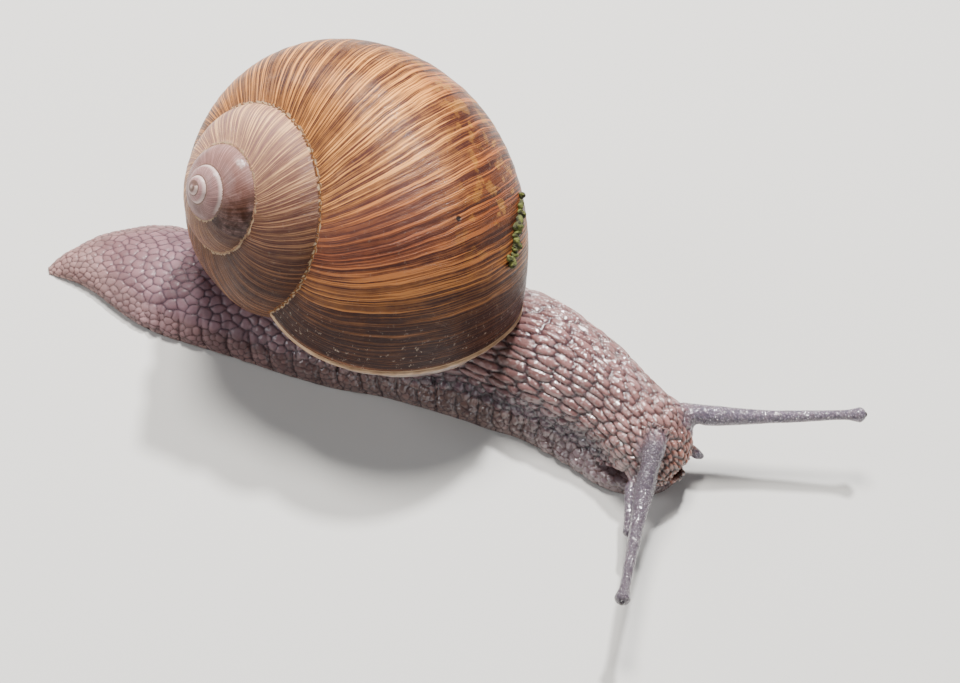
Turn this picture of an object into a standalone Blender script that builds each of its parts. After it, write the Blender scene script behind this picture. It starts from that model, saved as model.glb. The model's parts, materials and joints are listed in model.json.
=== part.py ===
"""Roman snail crawling over a flat surface: a still, life-size model.

Lengths are in millimetres and angles in degrees; MM turns a length into metres when a mesh is made. +X runs from
the tail to the head, +Y to the snail's left and +Z up. The origin is on the flat sole, about half way along the
body, and the sole rests at z = 0.
"""

import math

import bmesh
import bpy
from mathutils import Vector

MM = 0.001
GAP = 0.3  # clearance between two pieces that meet
FULL_TURN = 2 * math.pi

# The body's middle line, seen from above, starts at the tail's tip and follows these headings from +X:
# (share of the body's length, heading).
TAIL_TIP = (-39.0, -8.6)
BODY_LENGTH = 85.3
HEADINGS = [(0.0, 38), (0.06, 28), (0.12, 14), (0.22, 5), (0.45, 8), (0.6, 7), (0.72, -3), (0.82, -16), (0.9, -26),
            (1.0, -28)]
LINE_STEPS = 240

# Shares of the body's length at which one region ends and the next starts.
TAIL_END = 0.355
TRUNK_END = 0.60
NECK_END = 0.855
SNOUT_START = 0.958
FOOT_FRONT = 0.986

# Sizes along the body: (share of the length, size).
SOLE_HALF_WIDTHS = [(0.0, 0.5), (0.034, 2.1), (0.1, 5.6), (0.16, 8.0), (0.22, 8.9), (0.3, 8.9), (0.38, 9.3),
                    (0.46, 9.5), (0.54, 8.8), (0.62, 8.9), (0.7, 8.9), (0.76, 8.2), (0.84, 7.8), (0.9, 7.1),
                    (0.95, 6.4), (1.0, 5.4)]
BACK_HALF_WIDTHS = [(0.0, 0.4), (0.034, 1.7), (0.1, 4.4), (0.16, 6.2), (0.22, 7.2), (0.38, 8.0), (0.6, 8.3),
                    (0.67, 9.2), (0.73, 8.7), (0.8, 7.8), (0.88, 6.4), (0.94, 6.0), (0.975, 5.2), (1.0, 3.4)]
BACK_HEIGHTS = [(0.0, 1.0), (0.03, 1.9), (0.08, 3.1), (0.14, 4.2), (0.22, 5.2), (0.34, 5.9), (0.46, 7.0),
                (0.58, 8.4), (0.64, 9.8), (0.68, 11.1), (0.705, 11.7), (0.75, 12.6), (0.8, 12.0), (0.88, 11.0), (0.94, 9.9),
                (0.97, 8.7), (0.99, 7.0), (1.0, 5.6)]
WAIST_DEPTHS = [(0.5, 0.0), (0.66, 1.4), (0.8, 1.0), (0.88, 1.2), (0.95, 1.3), (1.0, 1.0)]  # over the foot's margin
BACK_LEANS = [(0.56, 0.0), (0.66, 0.18), (0.69, 0.14), (0.75, 0.02), (0.8, 0.0)]  # to the left, for each millimetre up
WAIST_TOP = 7.5  # the flank is drawn in up to this height, most at about half of it
FOOT_EDGE = 1.5  # thickness of the foot's margin
FOOT_TOP = 2.3  # here the foot ends and the back starts
FLARE_POWER = 2.2  # how fast the flank runs out into the foot's margin
BACK_ROUNDNESS = 0.9
FOOT_FRONT_ROUNDING = 0.075  # share of the length over which the foot's front is rounded
CHIN_LEVEL = 2.7
CHIN_LIFT = 1.2  # the chin rises by this toward the snout's end
CHEEK_LEVEL = 0.42  # the head's widest level, as a share of its height
HEAD_ROUNDNESS = 0.85
CHEEK_START = 0.88  # from here to CHEEK_END the head's sides come free of the foot
CHEEK_END = 0.965
UNDERSIDE_PARTS = (0.2, 0.45, 0.7, 0.9)
SOLE_MIDDLE = 0.45  # share of the half width at which the underside has an extra edge
BODY_STEP = 1.7  # distance between two cross-sections
SIDE_POINTS = 9

# The shell is a tube whose outline grows by WHORL_GROWTH in each turn. The outline is an ellipse in the half plane
# through the axis, given for a suture radius of 1; its long axis starts at the suture.
SHELL_APEX = (-18.3, -11.1, 28.1)
AXIS_BEARING = -129.9
AXIS_RISE = 28.0
LIP_BEARING = 51.1  # where the lip meets the suture, round the axis from straight down
SUTURE_RADIUS = 13.83  # at the lip
WHORL_GROWTH = 1.978
SUTURE_DROP = 0.771
OUTLINE_LENGTH = 1.383
OUTLINE_WIDTH = 1.149
OUTLINE_LEAN = 12.4
BASE_LEVEL = -2.6  # the outline is flattened below this level
BASE_DEPTH = 0.6
SHELL_TURNS = 4.4
LIP_LAG = (0.5475, -0.1411, 0.0249)  # how far the edge lags behind the suture, round the outline, in radians
LIP_FLARE = (0.045, 2.5, 0.45, 0.3)  # the edge widens by this share, at this angle, over these radians round and back
LAG_FADE = 2.0
SHOULDER_FADE = 46.0  # the shoulder that carries a later whorl dies out over this angle past the lip
LIP_SPAN = (14.0, 160.0)  # the lip's ends, as angles round the outline
LIP_WIDTH = 1.1
LIP_THICKNESS = 0.9
APERTURE_RECESS = 2.0
APERTURE_MIDDLE = ((60.0, 8.0), (150.0, 10.0))  # two places in it: (angle round the outline, depth into the tube)
COLLAR_SPAN = (25.0, 235.0)
COLLAR_RINGS = [(0.3, 0.4), (0.87, 0.5), (0.87, 1.1), (0.74, 1.6)]  # (size against the lip's, depth under it)
COLLAR_POINTS = 24
COLLAR_CLOSING = 8  # points across the aperture's upper side, where no lip is
STALK_RINGS = [0.5, 0.36, 0.18]  # sizes against the lip's, down to the back
STALK_SHIFT = (0.0, 1.3, 0.0)
STALK_CLEARANCE = 0.75
LIP_ROWS = 30
SEAM = 1.1  # the gap at a whorl's start, in gaps
POLE_DEPTH = 1.75  # where the faces under a whorl meet on the axis
POLE_GAP = 0.5
FAN_BACK = 1.5
BODY_WHORL_GRID = (8, 9, 40)  # columns down to the shoulder, columns on the base, rows in the turn
SPIRE_GRID = (7, 34)
APEX_GRID = (5, 24)

# Feelers: the root (share of the body's length, distance from the middle line, height), the bearing from the
# head's heading, the rise, the length, the clearance at the root and the radii at the root, midway and at the tip.
UPPER_RADII = (1.75, 0.95, 0.8)
LOWER_RADII = (0.95, 0.7, 0.62)
TENTACLES = {
    "upper_left": ((0.935, 3.6, 7.6), 51, 3, 22.8, 3.3, UPPER_RADII),
    "upper_right": ((0.967, -3.0, 7.6), -53, 3, 21.9, 3.0, UPPER_RADII),
    "lower_left": ((0.968, 3.4, 4.4), 40, -34, 3.9, 2.0, LOWER_RADII),
    "lower_right": ((0.95, -4.3, 5.0), -45, -4, 9.6, 2.4, LOWER_RADII),
}
TENTACLE_SAG = 0.05
EYE_RADIUS = 0.34
EYE_GAP = 0.12
RING_POINTS = 14

COLOURS = {
    "shell_apex": ((0.30, 0.19, 0.15), 0.35),
    "shell_spire": ((0.32, 0.22, 0.15), 0.4),
    "shell_body_whorl": ((0.22, 0.10, 0.05), 0.4),
    "shell_lip": ((0.66, 0.52, 0.38), 0.5),
    "flesh": ((0.30, 0.23, 0.20), 0.45),
    "mantle": ((0.36, 0.28, 0.22), 0.5),
    "eye": ((0.02, 0.015, 0.015), 0.2),
}


def clear_scene():
    for item in list(bpy.data.objects):
        bpy.data.objects.remove(item)


def material(name):
    found = bpy.data.materials.get(name)
    if found:
        return found
    colour, roughness = COLOURS[name]
    made = bpy.data.materials.new(name)
    made.use_nodes = True
    shader = made.node_tree.nodes["Principled BSDF"]
    shader.inputs["Base Color"].default_value = (*colour, 1)
    shader.inputs["Roughness"].default_value = roughness
    shader.inputs["Metallic"].default_value = 0
    return made


def spread(start, end, count):
    return [start + (end - start) * i / count for i in range(count + 1)]


def smooth_step(x):
    x = min(max(x, 0.0), 1.0)
    return x * x * (3 - 2 * x)


def along(table, share):
    """A size read from a table by a curve through its points, with no overshoot."""
    points = sorted(table)
    if share <= points[0][0]:
        return points[0][1]
    if share >= points[-1][0]:
        return points[-1][1]
    slopes = []
    for (x0, y0), (x1, y1) in zip(points, points[1:]):
        slopes.append((y1 - y0) / (x1 - x0))
    tangents = [slopes[0]]
    for before, after in zip(slopes, slopes[1:]):
        tangents.append(0 if before * after <= 0 else 2 * before * after / (before + after))
    tangents.append(slopes[-1])
    index = max(i for i, point in enumerate(points[:-1]) if point[0] <= share)
    (x0, y0), (x1, y1) = points[index], points[index + 1]
    width = x1 - x0
    s = (share - x0) / width
    start = (1 + 2 * s) * (1 - s) ** 2 * y0 + s * (1 - s) ** 2 * width * tangents[index]
    end = s * s * (3 - 2 * s) * y1 + s * s * (s - 1) * width * tangents[index + 1]
    return start + end


def middle_line():
    """Points and headings of the body's middle line at even steps."""
    x, y = TAIL_TIP
    step = BODY_LENGTH / LINE_STEPS
    line = []
    for i in range(LINE_STEPS + 1):
        heading = math.radians(along(HEADINGS, i / LINE_STEPS))
        line.append((x, y, heading))
        x += step * math.cos(heading)
        y += step * math.sin(heading)
    return line


MIDDLE_LINE = middle_line()


def body_point(share, side, height):
    """A point beside the middle line; side is positive to the snail's left."""
    place = min(max(share, 0.0), 1.0) * LINE_STEPS
    index = min(int(place), LINE_STEPS - 1)
    part = place - index
    x0, y0, a0 = MIDDLE_LINE[index]
    x1, y1, a1 = MIDDLE_LINE[index + 1]
    x = x0 + (x1 - x0) * part
    y = y0 + (y1 - y0) * part
    heading = a0 + (a1 - a0) * part
    return Vector((x - side * math.sin(heading), y + side * math.cos(heading), height))


def body_heading(share):
    return math.radians(along(HEADINGS, share))


def flank(share, height):
    """Half the body's width at a height over the foot's margin."""
    top = along(BACK_HEIGHTS, share)
    edge = min(FOOT_EDGE, 0.5 * top)
    wide = along(SOLE_HALF_WIDTHS, share)
    narrow = along(BACK_HALF_WIDTHS, share)
    level = min(max((height - edge) / (top - edge), 0.0), 1.0)
    rise = level ** (1 / BACK_ROUNDNESS)
    half_width = math.sqrt(max(1 - rise * rise, 0)) * (narrow + (wide - narrow) * (1 - rise) ** FLARE_POWER)
    over = min(max((height - edge) / (WAIST_TOP - edge), 0.0), 1.0)
    return half_width - along(WAIST_DEPTHS, share) * math.sin(math.pi * over ** 0.7) ** 2


def back_curve(share, low, count=SIDE_POINTS):
    """The right half of the back's outline, from the flank at a height up to the top."""
    top = along(BACK_HEIGHTS, share)
    edge = min(FOOT_EDGE, 0.5 * top)
    start = math.asin(min(max((low - edge) / (top - edge), 0.0), 1.0) ** (1 / BACK_ROUNDNESS))
    curve = []
    for i in range(count):
        angle = start + (math.pi / 2 - start) * i / count
        height = edge + (top - edge) * math.sin(angle) ** BACK_ROUNDNESS
        curve.append((flank(share, height), height))
    return curve + [(0.0, top)]


def mirror_outline(right):
    """A closed outline from its right half, which runs from the bottom up to the middle of the top."""
    return [(-side, height) for side, height in right] + right[-2::-1]


def ring_at(share, right):
    lean = along(BACK_LEANS, share)
    return [body_point(share, side + lean * height, height) for side, height in mirror_outline(right)]


def stations(start, end):
    count = max(2, round((end - start) * BODY_LENGTH / BODY_STEP))
    return [start + (end - start) * i / count for i in range(count + 1)]


def mesh_object(name, points, faces, colour):
    """One closed body from points in millimetres; its faces are turned outward."""
    mesh = bpy.data.meshes.new(name)
    work = bmesh.new()
    verts = [work.verts.new(Vector(point) * MM) for point in points]
    for face in faces:
        work.faces.new([verts[i] for i in face])
    bmesh.ops.recalc_face_normals(work, faces=work.faces)
    if work.calc_volume(signed=True) < 0:
        bmesh.ops.reverse_faces(work, faces=work.faces)
    work.to_mesh(mesh)
    work.free()
    mesh.materials.append(material(colour))
    mesh.shade_smooth()
    mesh.set_sharp_from_angle(angle=math.radians(40))
    item = bpy.data.objects.new(name, mesh)
    bpy.context.scene.collection.objects.link(item)
    return item


def loft(name, rings, colour):
    """A closed body through rings of equal count, with a fan over each end."""
    count = len(rings[0])
    points = [point for ring in rings for point in ring]
    faces = []
    for row in range(len(rings) - 1):
        for i in range(count):
            a = row * count + i
            b = row * count + (i + 1) % count
            faces.append((a, b, b + count, a + count))
    for row in (0, len(rings) - 1):
        centre = sum((Vector(point) for point in rings[row]), Vector()) / count
        points.append(centre)
        for i in range(count):
            faces.append((row * count + i, row * count + (i + 1) % count, len(points) - 1))
    return mesh_object(name, points, faces, colour)


# Body

def sole_and_margin(share, half_width):
    """The foot's lower outline on the right: the flat sole and its rounded margin."""
    edge = min(FOOT_EDGE, 0.5 * along(BACK_HEIGHTS, share))
    inset = min(0.5, 0.4 * half_width)
    return [(SOLE_MIDDLE * half_width, 0.0), (half_width - inset, 0.0), (half_width - 0.15 * inset, 0.3 * edge),
            (half_width, 0.7 * edge)]


def make_tail():
    rings = []
    for share in [0.006] + stations(0.02, TAIL_END):
        right = sole_and_margin(share, flank(share, 0))
        rings.append(ring_at(share, right + back_curve(share, 0)))
    loft("tail", rings, "flesh")


def foot_front_share(share):
    """1 along the foot and down to 0 at its rounded front."""
    over = (share - (FOOT_FRONT - FOOT_FRONT_ROUNDING)) / FOOT_FRONT_ROUNDING
    return math.sqrt(max(1 - max(over, 0) ** 2, 0.0))


def make_foot(name, start, end):
    """A length of the foot under the trunk and neck, flat on top."""
    shares = stations(start, end)
    if end >= FOOT_FRONT:
        shares = stations(start, FOOT_FRONT - FOOT_FRONT_ROUNDING)
        shares += [FOOT_FRONT - FOOT_FRONT_ROUNDING * (1 - math.sin(i * math.pi / 16)) for i in range(1, 8)]
    rings = []
    for share in shares:
        scale = foot_front_share(share)
        half_width = flank(share, 0) * scale
        rim = [(half_width, FOOT_EDGE), (max(flank(share, FOOT_TOP) * scale, 0.82 * half_width), FOOT_TOP)]
        right = sole_and_margin(share, half_width) + rim + [(0.0, FOOT_TOP)]
        rings.append(ring_at(share, right))
    loft(name, rings, "flesh")


def make_back(name, start, end):
    """A length of the body over the foot."""
    low = FOOT_TOP + GAP
    gap_share = GAP / BODY_LENGTH
    rings = []
    for share in stations(start + gap_share, end):
        curve = back_curve(share, low)
        right = [(SOLE_MIDDLE * curve[0][0], low)] + curve
        rings.append(ring_at(share, right))
    loft(name, rings, "flesh")


def head_outline(share):
    """The head's right half outline: rounded under the cheeks, with a blunt back."""
    top = along(BACK_HEIGHTS, share)
    half_width = along(BACK_HALF_WIDTHS, share)
    chin = CHIN_LEVEL + CHIN_LIFT * smooth_step((share - 0.97) / 0.03)
    middle = chin + CHEEK_LEVEL * (top - chin)
    right = []
    for i in range(SIDE_POINTS + 5):
        angle = -math.pi / 2 + math.pi * (i + 0.5) / (SIDE_POINTS + 5)
        reach = top - middle if angle > 0 else middle - chin
        side = half_width * abs(math.cos(angle)) ** HEAD_ROUNDNESS
        height = middle + reach * math.copysign(abs(math.sin(angle)) ** HEAD_ROUNDNESS, angle)
        right.append((side, height))
    return right + [(0.0, top)]


def cheek_outline(share):
    """The head's right half outline where its flank still runs down to the foot."""
    low = FOOT_TOP + GAP
    curve = back_curve(share, low, SIDE_POINTS + 1)
    flank_side = [(part * curve[0][0], low) for part in UNDERSIDE_PARTS] + curve
    free = smooth_step((share - CHEEK_START) / (CHEEK_END - CHEEK_START))
    outline_points = []
    for (side, height), (head_side, head_height) in zip(flank_side, head_outline(share)):
        outline_points.append((side + (head_side - side) * free, height + (head_height - height) * free))
    return outline_points


def make_head():
    gap_share = GAP / BODY_LENGTH
    rings = [ring_at(share, cheek_outline(share)) for share in stations(NECK_END + gap_share, SNOUT_START)]
    loft("head", rings, "flesh")
    shares = [SNOUT_START + gap_share + (1 - SNOUT_START - gap_share) * math.sin(i * math.pi / 12) for i in range(6)]
    rings = [ring_at(share, cheek_outline(share)) for share in shares]
    loft("snout", rings, "flesh")


# Feelers

def tentacle_ring(tentacle, place):
    """A ring of points round the feeler; place is the distance from its root."""
    (share, across, height), spread_angle, rise, length, _, (wide, middle, tip) = tentacle
    bearing = body_heading(share) + math.radians(spread_angle)
    climb = math.radians(rise)
    forward = Vector((math.cos(climb) * math.cos(bearing), math.cos(climb) * math.sin(bearing), math.sin(climb)))
    part = place / length
    body = tip + (middle - tip) * (1 - part) + (wide - middle) * max(1 - part / 0.6, 0) ** 2
    knob = 1 + 0.22 * math.exp(-((length - 1.3 * tip - place) / (0.9 * tip)) ** 2)
    dome = math.sqrt(max(1 - max(1 - (length - place) / tip, 0) ** 2, 0))
    centre = body_point(share, across, height) + forward * place
    centre.z -= TENTACLE_SAG * length * math.sin(math.pi * part) * 0.5
    side = forward.cross(Vector((0, 0, 1))).normalized()
    up = side.cross(forward)
    ring = []
    for i in range(RING_POINTS):
        angle = FULL_TURN * i / RING_POINTS
        ring.append(centre + body * knob * dome * (math.cos(angle) * side + math.sin(angle) * up))
    return ring


def tentacle_piece(name, tentacle, start, end, colour="flesh"):
    """A length of a feeler, with closer rings over its rounded tip."""
    length, tip = tentacle[3], tentacle[5][2]
    round_start = length - tip
    places = []
    if start < round_start:
        places = spread(start, min(end, round_start), max(2, round((min(end, round_start) - start) / 1.6)))
    if end > round_start:
        first = math.asin(max(start - round_start, 0) / tip)
        last = math.asin(min((end - round_start) / tip, 1))
        places += [round_start + tip * math.sin(angle) for angle in spread(first, last, 5)[1 if places else 0:]]
    loft(name, [tentacle_ring(tentacle, place) for place in places], colour)


def make_tentacles(word):
    """Both feelers of one side, with the eye as the cap of the upper one's tip."""
    upper, lower = TENTACLES[f"upper_{word}"], TENTACLES[f"lower_{word}"]
    length, clearance, tip = upper[3], upper[4], upper[5][2]
    eye_start = length - (tip - math.sqrt(tip * tip - EYE_RADIUS ** 2))
    half = length / 2
    tentacle_piece(f"upper_tentacle_{word}_base", upper, clearance, half)
    tentacle_piece(f"upper_tentacle_{word}_tip", upper, half + GAP, eye_start - EYE_GAP)
    tentacle_piece(f"eye_{word}", upper, eye_start, length - 0.002, "eye")
    tentacle_piece(f"lower_tentacle_{word}", lower, lower[4], lower[3] - 0.02)


# Shell

def shell_axes():
    """The shell's axis toward its apex, and the two directions across it that bearings are counted from."""
    bearing, rise = math.radians(AXIS_BEARING), math.radians(AXIS_RISE)
    axis = Vector((math.cos(rise) * math.cos(bearing), math.cos(rise) * math.sin(bearing), math.sin(rise)))
    down = Vector((0, 0, -1))
    across = (down - axis * down.dot(axis)).normalized()
    return axis, across, axis.cross(across)


SHELL_AXIS, SHELL_DOWN, SHELL_SIDE = shell_axes()
LEAN = math.radians(OUTLINE_LEAN)
LONG = (-math.sin(LEAN), -math.cos(LEAN))
WIDE = (math.cos(LEAN), -math.sin(LEAN))
OUTLINE_CENTRE = (1 + OUTLINE_LENGTH * LONG[0], -SUTURE_DROP + OUTLINE_LENGTH * LONG[1])


def next_suture():
    """Where the next whorl's suture lies: its angle round the outline, and its distance over the ellipse's."""
    out = WHORL_GROWTH - OUTLINE_CENTRE[0]
    up = -WHORL_GROWTH * SUTURE_DROP - OUTLINE_CENTRE[1]
    long = (out * LONG[0] + up * LONG[1]) / OUTLINE_LENGTH
    wide = (out * WIDE[0] + up * WIDE[1]) / OUTLINE_WIDTH
    return math.atan2(wide, -long), math.hypot(long, wide)


SHOULDER, SHOULDER_SIZE = next_suture()


def outline(turn, angle):
    """The whorl's outline at an angle from the suture, as radius and height for a suture radius of 1."""
    fade = smooth_step(1 - (FULL_TURN - turn) / math.radians(SHOULDER_FADE))
    reach = SHOULDER if angle < SHOULDER else math.radians(75)
    off = min(abs(angle - SHOULDER) / reach, 1)
    size = 1 + (SHOULDER_SIZE - 1) * fade * math.cos(off * math.pi / 2) ** 2
    flare, flare_angle, flare_width, flare_back = LIP_FLARE
    size += flare * math.exp(-((angle - flare_angle) / flare_width) ** 2 - (turn / flare_back) ** 2)
    long = -OUTLINE_LENGTH * math.cos(angle) * size
    wide = OUTLINE_WIDTH * math.sin(angle) * size
    radius = OUTLINE_CENTRE[0] + long * LONG[0] + wide * WIDE[0]
    height = OUTLINE_CENTRE[1] + long * LONG[1] + wide * WIDE[1]
    if height < BASE_LEVEL:
        height = BASE_LEVEL - BASE_DEPTH * math.tanh((BASE_LEVEL - height) / BASE_DEPTH)
    return radius, height


def base_angle():
    """The angle round the outline at which it comes down to the axis."""
    low, high = math.pi, 1.5 * math.pi
    for _ in range(40):
        middle = (low + high) / 2
        if outline(0, middle)[0] > 0:
            low = middle
        else:
            high = middle
    return low


BASE_ANGLE = base_angle()


def shell_size(turn):
    return SUTURE_RADIUS * WHORL_GROWTH ** (-turn / FULL_TURN)


def shell_point(turn, angle, inward=0.0, lag=True):
    """A point of the shell's surface, a number of radians back from the lip; inward moves it into the tube."""
    back = turn
    if lag and turn < FULL_TURN:
        slant = LIP_LAG[0] * angle + LIP_LAG[1] * angle ** 2 + LIP_LAG[2] * angle ** 3
        back = turn + slant * (1 - turn / FULL_TURN) ** LAG_FADE
    radius, height = outline(turn, angle)
    size = shell_size(back)
    keep = 1 - inward / (size * math.hypot(radius - OUTLINE_CENTRE[0], height - OUTLINE_CENTRE[1]))
    radius = OUTLINE_CENTRE[0] + (radius - OUTLINE_CENTRE[0]) * keep
    height = OUTLINE_CENTRE[1] + (height - OUTLINE_CENTRE[1]) * keep
    bearing = math.radians(LIP_BEARING) + back
    out = math.cos(bearing) * SHELL_DOWN + math.sin(bearing) * SHELL_SIDE
    return Vector(SHELL_APEX) + size * (height * SHELL_AXIS + radius * out)


def suture_gap(turn):
    """The angle round the outline that keeps a whorl clear of the one before."""
    return 1.6 * GAP / (OUTLINE_WIDTH * shell_size(turn))


def axis_point(level):
    return Vector(SHELL_APEX) + level * SHELL_AXIS


def strip(points, faces, late_at, early, count, angles_at):
    """A grid of shell points from the turn angle late_at(angle) back to early; returns their indices by row."""
    rows = []
    for part in spread(0, 1, count):
        row = []
        for angle in angles_at(part * early):
            points.append(shell_point(late_at(angle) * (1 - part) + early * part, angle))
            row.append(len(points) - 1)
        rows.append(row)
    bridge(faces, rows)
    return rows


def bridge(faces, rows):
    for a, b in zip(rows, rows[1:]):
        for i in range(len(a) - 1):
            faces.append((a[i], a[i + 1], b[i + 1], b[i]))


def fan(points, faces, loop, centre):
    points.append(centre)
    for a, b in zip(loop, loop[1:] + loop[:1]):
        faces.append((a, b, len(points) - 1))


def make_whorl(name, late, columns, rows_per_turn):
    """One whole turn of the spire, back from the turn angle 'late'."""
    points, faces = [], []
    early = late + FULL_TURN - SEAM * GAP / shell_size(late + FULL_TURN)
    rows = strip(points, faces, lambda angle: late, early, rows_per_turn,
                 lambda turn: spread(suture_gap(turn), SHOULDER, columns))
    upper = [row[0] for row in rows] + rows[-1][1:]
    fan(points, faces, upper, axis_point(-POLE_DEPTH * shell_size(early + FAN_BACK) - POLE_GAP))
    lower = [row[-1] for row in reversed(rows)] + rows[0][-2::-1]
    fan(points, faces, lower, axis_point(-POLE_DEPTH * shell_size(late + FAN_BACK)))
    mesh_object(name, points, faces, name)


def make_apex(late, columns, rows_per_turn):
    """The first whorls, back from the turn angle 'late', with a rounded top."""
    points, faces, rows = [], [], []
    count = round((SHELL_TURNS - late / FULL_TURN) * rows_per_turn)
    for number in range(count + 1):
        row = []
        for i, angle in enumerate(spread(0, SHOULDER, columns)):
            if i == columns and number >= rows_per_turn:
                row.append(rows[number - rows_per_turn][0])
                continue
            points.append(shell_point(late + FULL_TURN * number / rows_per_turn, angle))
            row.append(len(points) - 1)
        rows.append(row)
    bridge(faces, rows)
    top_turn = late + FULL_TURN * count / rows_per_turn
    top = [row[0] for row in rows[-rows_per_turn:]] + rows[-1][1:-1]
    top.insert(0, rows[-rows_per_turn - 1][0])
    fan(points, faces, top, axis_point(-0.5 * shell_size(top_turn)))
    lower = [row[-1] for row in reversed(rows[:rows_per_turn])] + rows[0][-2::-1]
    fan(points, faces, lower, axis_point(-POLE_DEPTH * shell_size(late + FAN_BACK)))
    mesh_object("shell_apex", points, faces, "shell_apex")


def make_body_whorl(columns, base_columns, rows_per_turn):
    """The last turn, with its base and the aperture's recessed face."""
    points, faces = [], []
    early = FULL_TURN - SEAM * GAP / shell_size(FULL_TURN)
    rows = strip(points, faces, lambda angle: lip_turn(angle, LIP_WIDTH), early, rows_per_turn,
                 lambda turn: spread(suture_gap(turn), SHOULDER, columns)
                 + spread(SHOULDER, BASE_ANGLE, base_columns)[1:])
    upper = [row[0] for row in rows] + rows[-1][1:columns + 1]
    fan(points, faces, upper, axis_point(-POLE_DEPTH * shell_size(early + FAN_BACK) - POLE_GAP))
    aperture = rows[-1][columns:] + [row[-1] for row in reversed(rows[:-1])] + rows[0][-2::-1]
    fan(points, faces, aperture, aperture_centre(APERTURE_RECESS))
    mesh_object("shell_body_whorl", points, faces, "shell_body_whorl")


def aperture_centre(depth):
    """The middle of the aperture, moved up into the shell."""
    first, second = [shell_point(0, math.radians(angle), inward) for angle, inward in APERTURE_MIDDLE]
    return (first + second) / 2 + Vector((0, 0, depth))


def lip_turn(angle, width):
    """The turn angle a given width back from the shell's edge."""
    return width / (SUTURE_RADIUS * max(outline(0, angle)[0], 0.5))


def make_lip():
    """The edge of the last whorl."""
    rings = []
    for angle in spread(math.radians(LIP_SPAN[0]), math.radians(LIP_SPAN[1]), LIP_ROWS):
        back = lip_turn(angle, LIP_WIDTH - 1.2 * GAP)
        rings.append([shell_point(0, angle), shell_point(back, angle), shell_point(0.8 * back, angle, LIP_THICKNESS),
                      shell_point(0.3 * back, angle, LIP_THICKNESS)])
    loft("shell_lip", rings, "shell_lip")


def back_height(place):
    """The height of the back's surface under or over a place."""
    distances = [math.hypot(place.x - x, place.y - y) for x, y, _ in MIDDLE_LINE]
    index = distances.index(min(distances))
    x, y, heading = MIDDLE_LINE[index]
    side = (place.y - y) * math.cos(heading) - (place.x - x) * math.sin(heading)
    share = index / LINE_STEPS
    lean = along(BACK_LEANS, share)
    low, high = FOOT_TOP, along(BACK_HEIGHTS, share)
    for _ in range(30):
        level = (low + high) / 2
        if flank(share, level) > abs(side - lean * level):
            low = level
        else:
            high = level
    return low


def make_collar():
    """The mantle's edge in the aperture, and the stalk that joins it to the back."""
    centre = aperture_centre(0)
    start, end = COLLAR_SPAN
    edge = [shell_point(0, angle) for angle in spread(math.radians(start), math.radians(end), COLLAR_POINTS)]
    first, last = edge[0], edge[-1]
    edge += [last.lerp(first, part / COLLAR_CLOSING) for part in range(1, COLLAR_CLOSING)]
    rings = []
    for scale, drop in COLLAR_RINGS:
        rings.append([centre + (point - centre) * scale - Vector((0, 0, drop)) for point in edge])
    for scale in STALK_RINGS:
        ring = []
        for point in edge:
            place = centre + Vector(STALK_SHIFT) + (point - centre) * scale
            place.z = back_height(place) + STALK_CLEARANCE
            ring.append(place)
        rings.append(ring)
    loft("mantle_collar", rings, "mantle")


def main():
    clear_scene()
    make_tail()
    make_foot("foot_middle", TAIL_END + GAP / BODY_LENGTH, TRUNK_END)
    make_foot("foot_front", TRUNK_END + GAP / BODY_LENGTH, FOOT_FRONT)
    make_back("trunk", TAIL_END, TRUNK_END)
    make_back("neck", TRUNK_END, NECK_END)
    make_head()
    for word in ("left", "right"):
        make_tentacles(word)
    make_collar()
    make_body_whorl(*BODY_WHORL_GRID)
    make_whorl("shell_spire", FULL_TURN, *SPIRE_GRID)
    make_apex(2 * FULL_TURN, *APEX_GRID)
    make_lip()


main()
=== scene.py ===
"""Roman snail: the dressed, still model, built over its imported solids.

Lengths in the code are in millimetres unless a name or a unit says otherwise; MM turns them into metres.
"""

import json
import math

import bpy
import numpy as np
from mathutils import Matrix, Vector
from mathutils.kdtree import KDTree

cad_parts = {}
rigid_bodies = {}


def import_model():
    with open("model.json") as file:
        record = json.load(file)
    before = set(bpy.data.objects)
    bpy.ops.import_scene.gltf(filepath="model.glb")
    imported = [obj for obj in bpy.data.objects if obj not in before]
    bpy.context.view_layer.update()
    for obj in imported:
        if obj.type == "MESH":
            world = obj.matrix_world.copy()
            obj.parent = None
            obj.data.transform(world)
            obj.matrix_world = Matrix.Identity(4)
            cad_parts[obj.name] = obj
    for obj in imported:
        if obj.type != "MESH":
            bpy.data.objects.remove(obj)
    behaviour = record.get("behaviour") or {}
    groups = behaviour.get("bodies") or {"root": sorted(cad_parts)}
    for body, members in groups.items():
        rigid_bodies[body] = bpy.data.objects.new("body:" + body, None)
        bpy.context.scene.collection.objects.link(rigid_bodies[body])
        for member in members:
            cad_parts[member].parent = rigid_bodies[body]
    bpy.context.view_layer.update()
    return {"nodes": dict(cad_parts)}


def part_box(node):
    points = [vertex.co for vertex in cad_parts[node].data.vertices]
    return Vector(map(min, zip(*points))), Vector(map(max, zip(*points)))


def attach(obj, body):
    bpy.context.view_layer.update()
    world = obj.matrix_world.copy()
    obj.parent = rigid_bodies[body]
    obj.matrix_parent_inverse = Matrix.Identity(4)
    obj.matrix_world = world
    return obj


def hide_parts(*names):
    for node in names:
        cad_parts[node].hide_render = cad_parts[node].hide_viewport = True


bl_info = {
    "name": "Roman Snail",
    "version": (1, 0, 0),
    "blender": (4, 5, 0),
    "location": "View3D > Sidebar > Snail",
    "description": "Models a life-size Roman snail: textured skin, striped shell, eyes and studio",
    "category": "Add Mesh",
}

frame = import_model()

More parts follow.
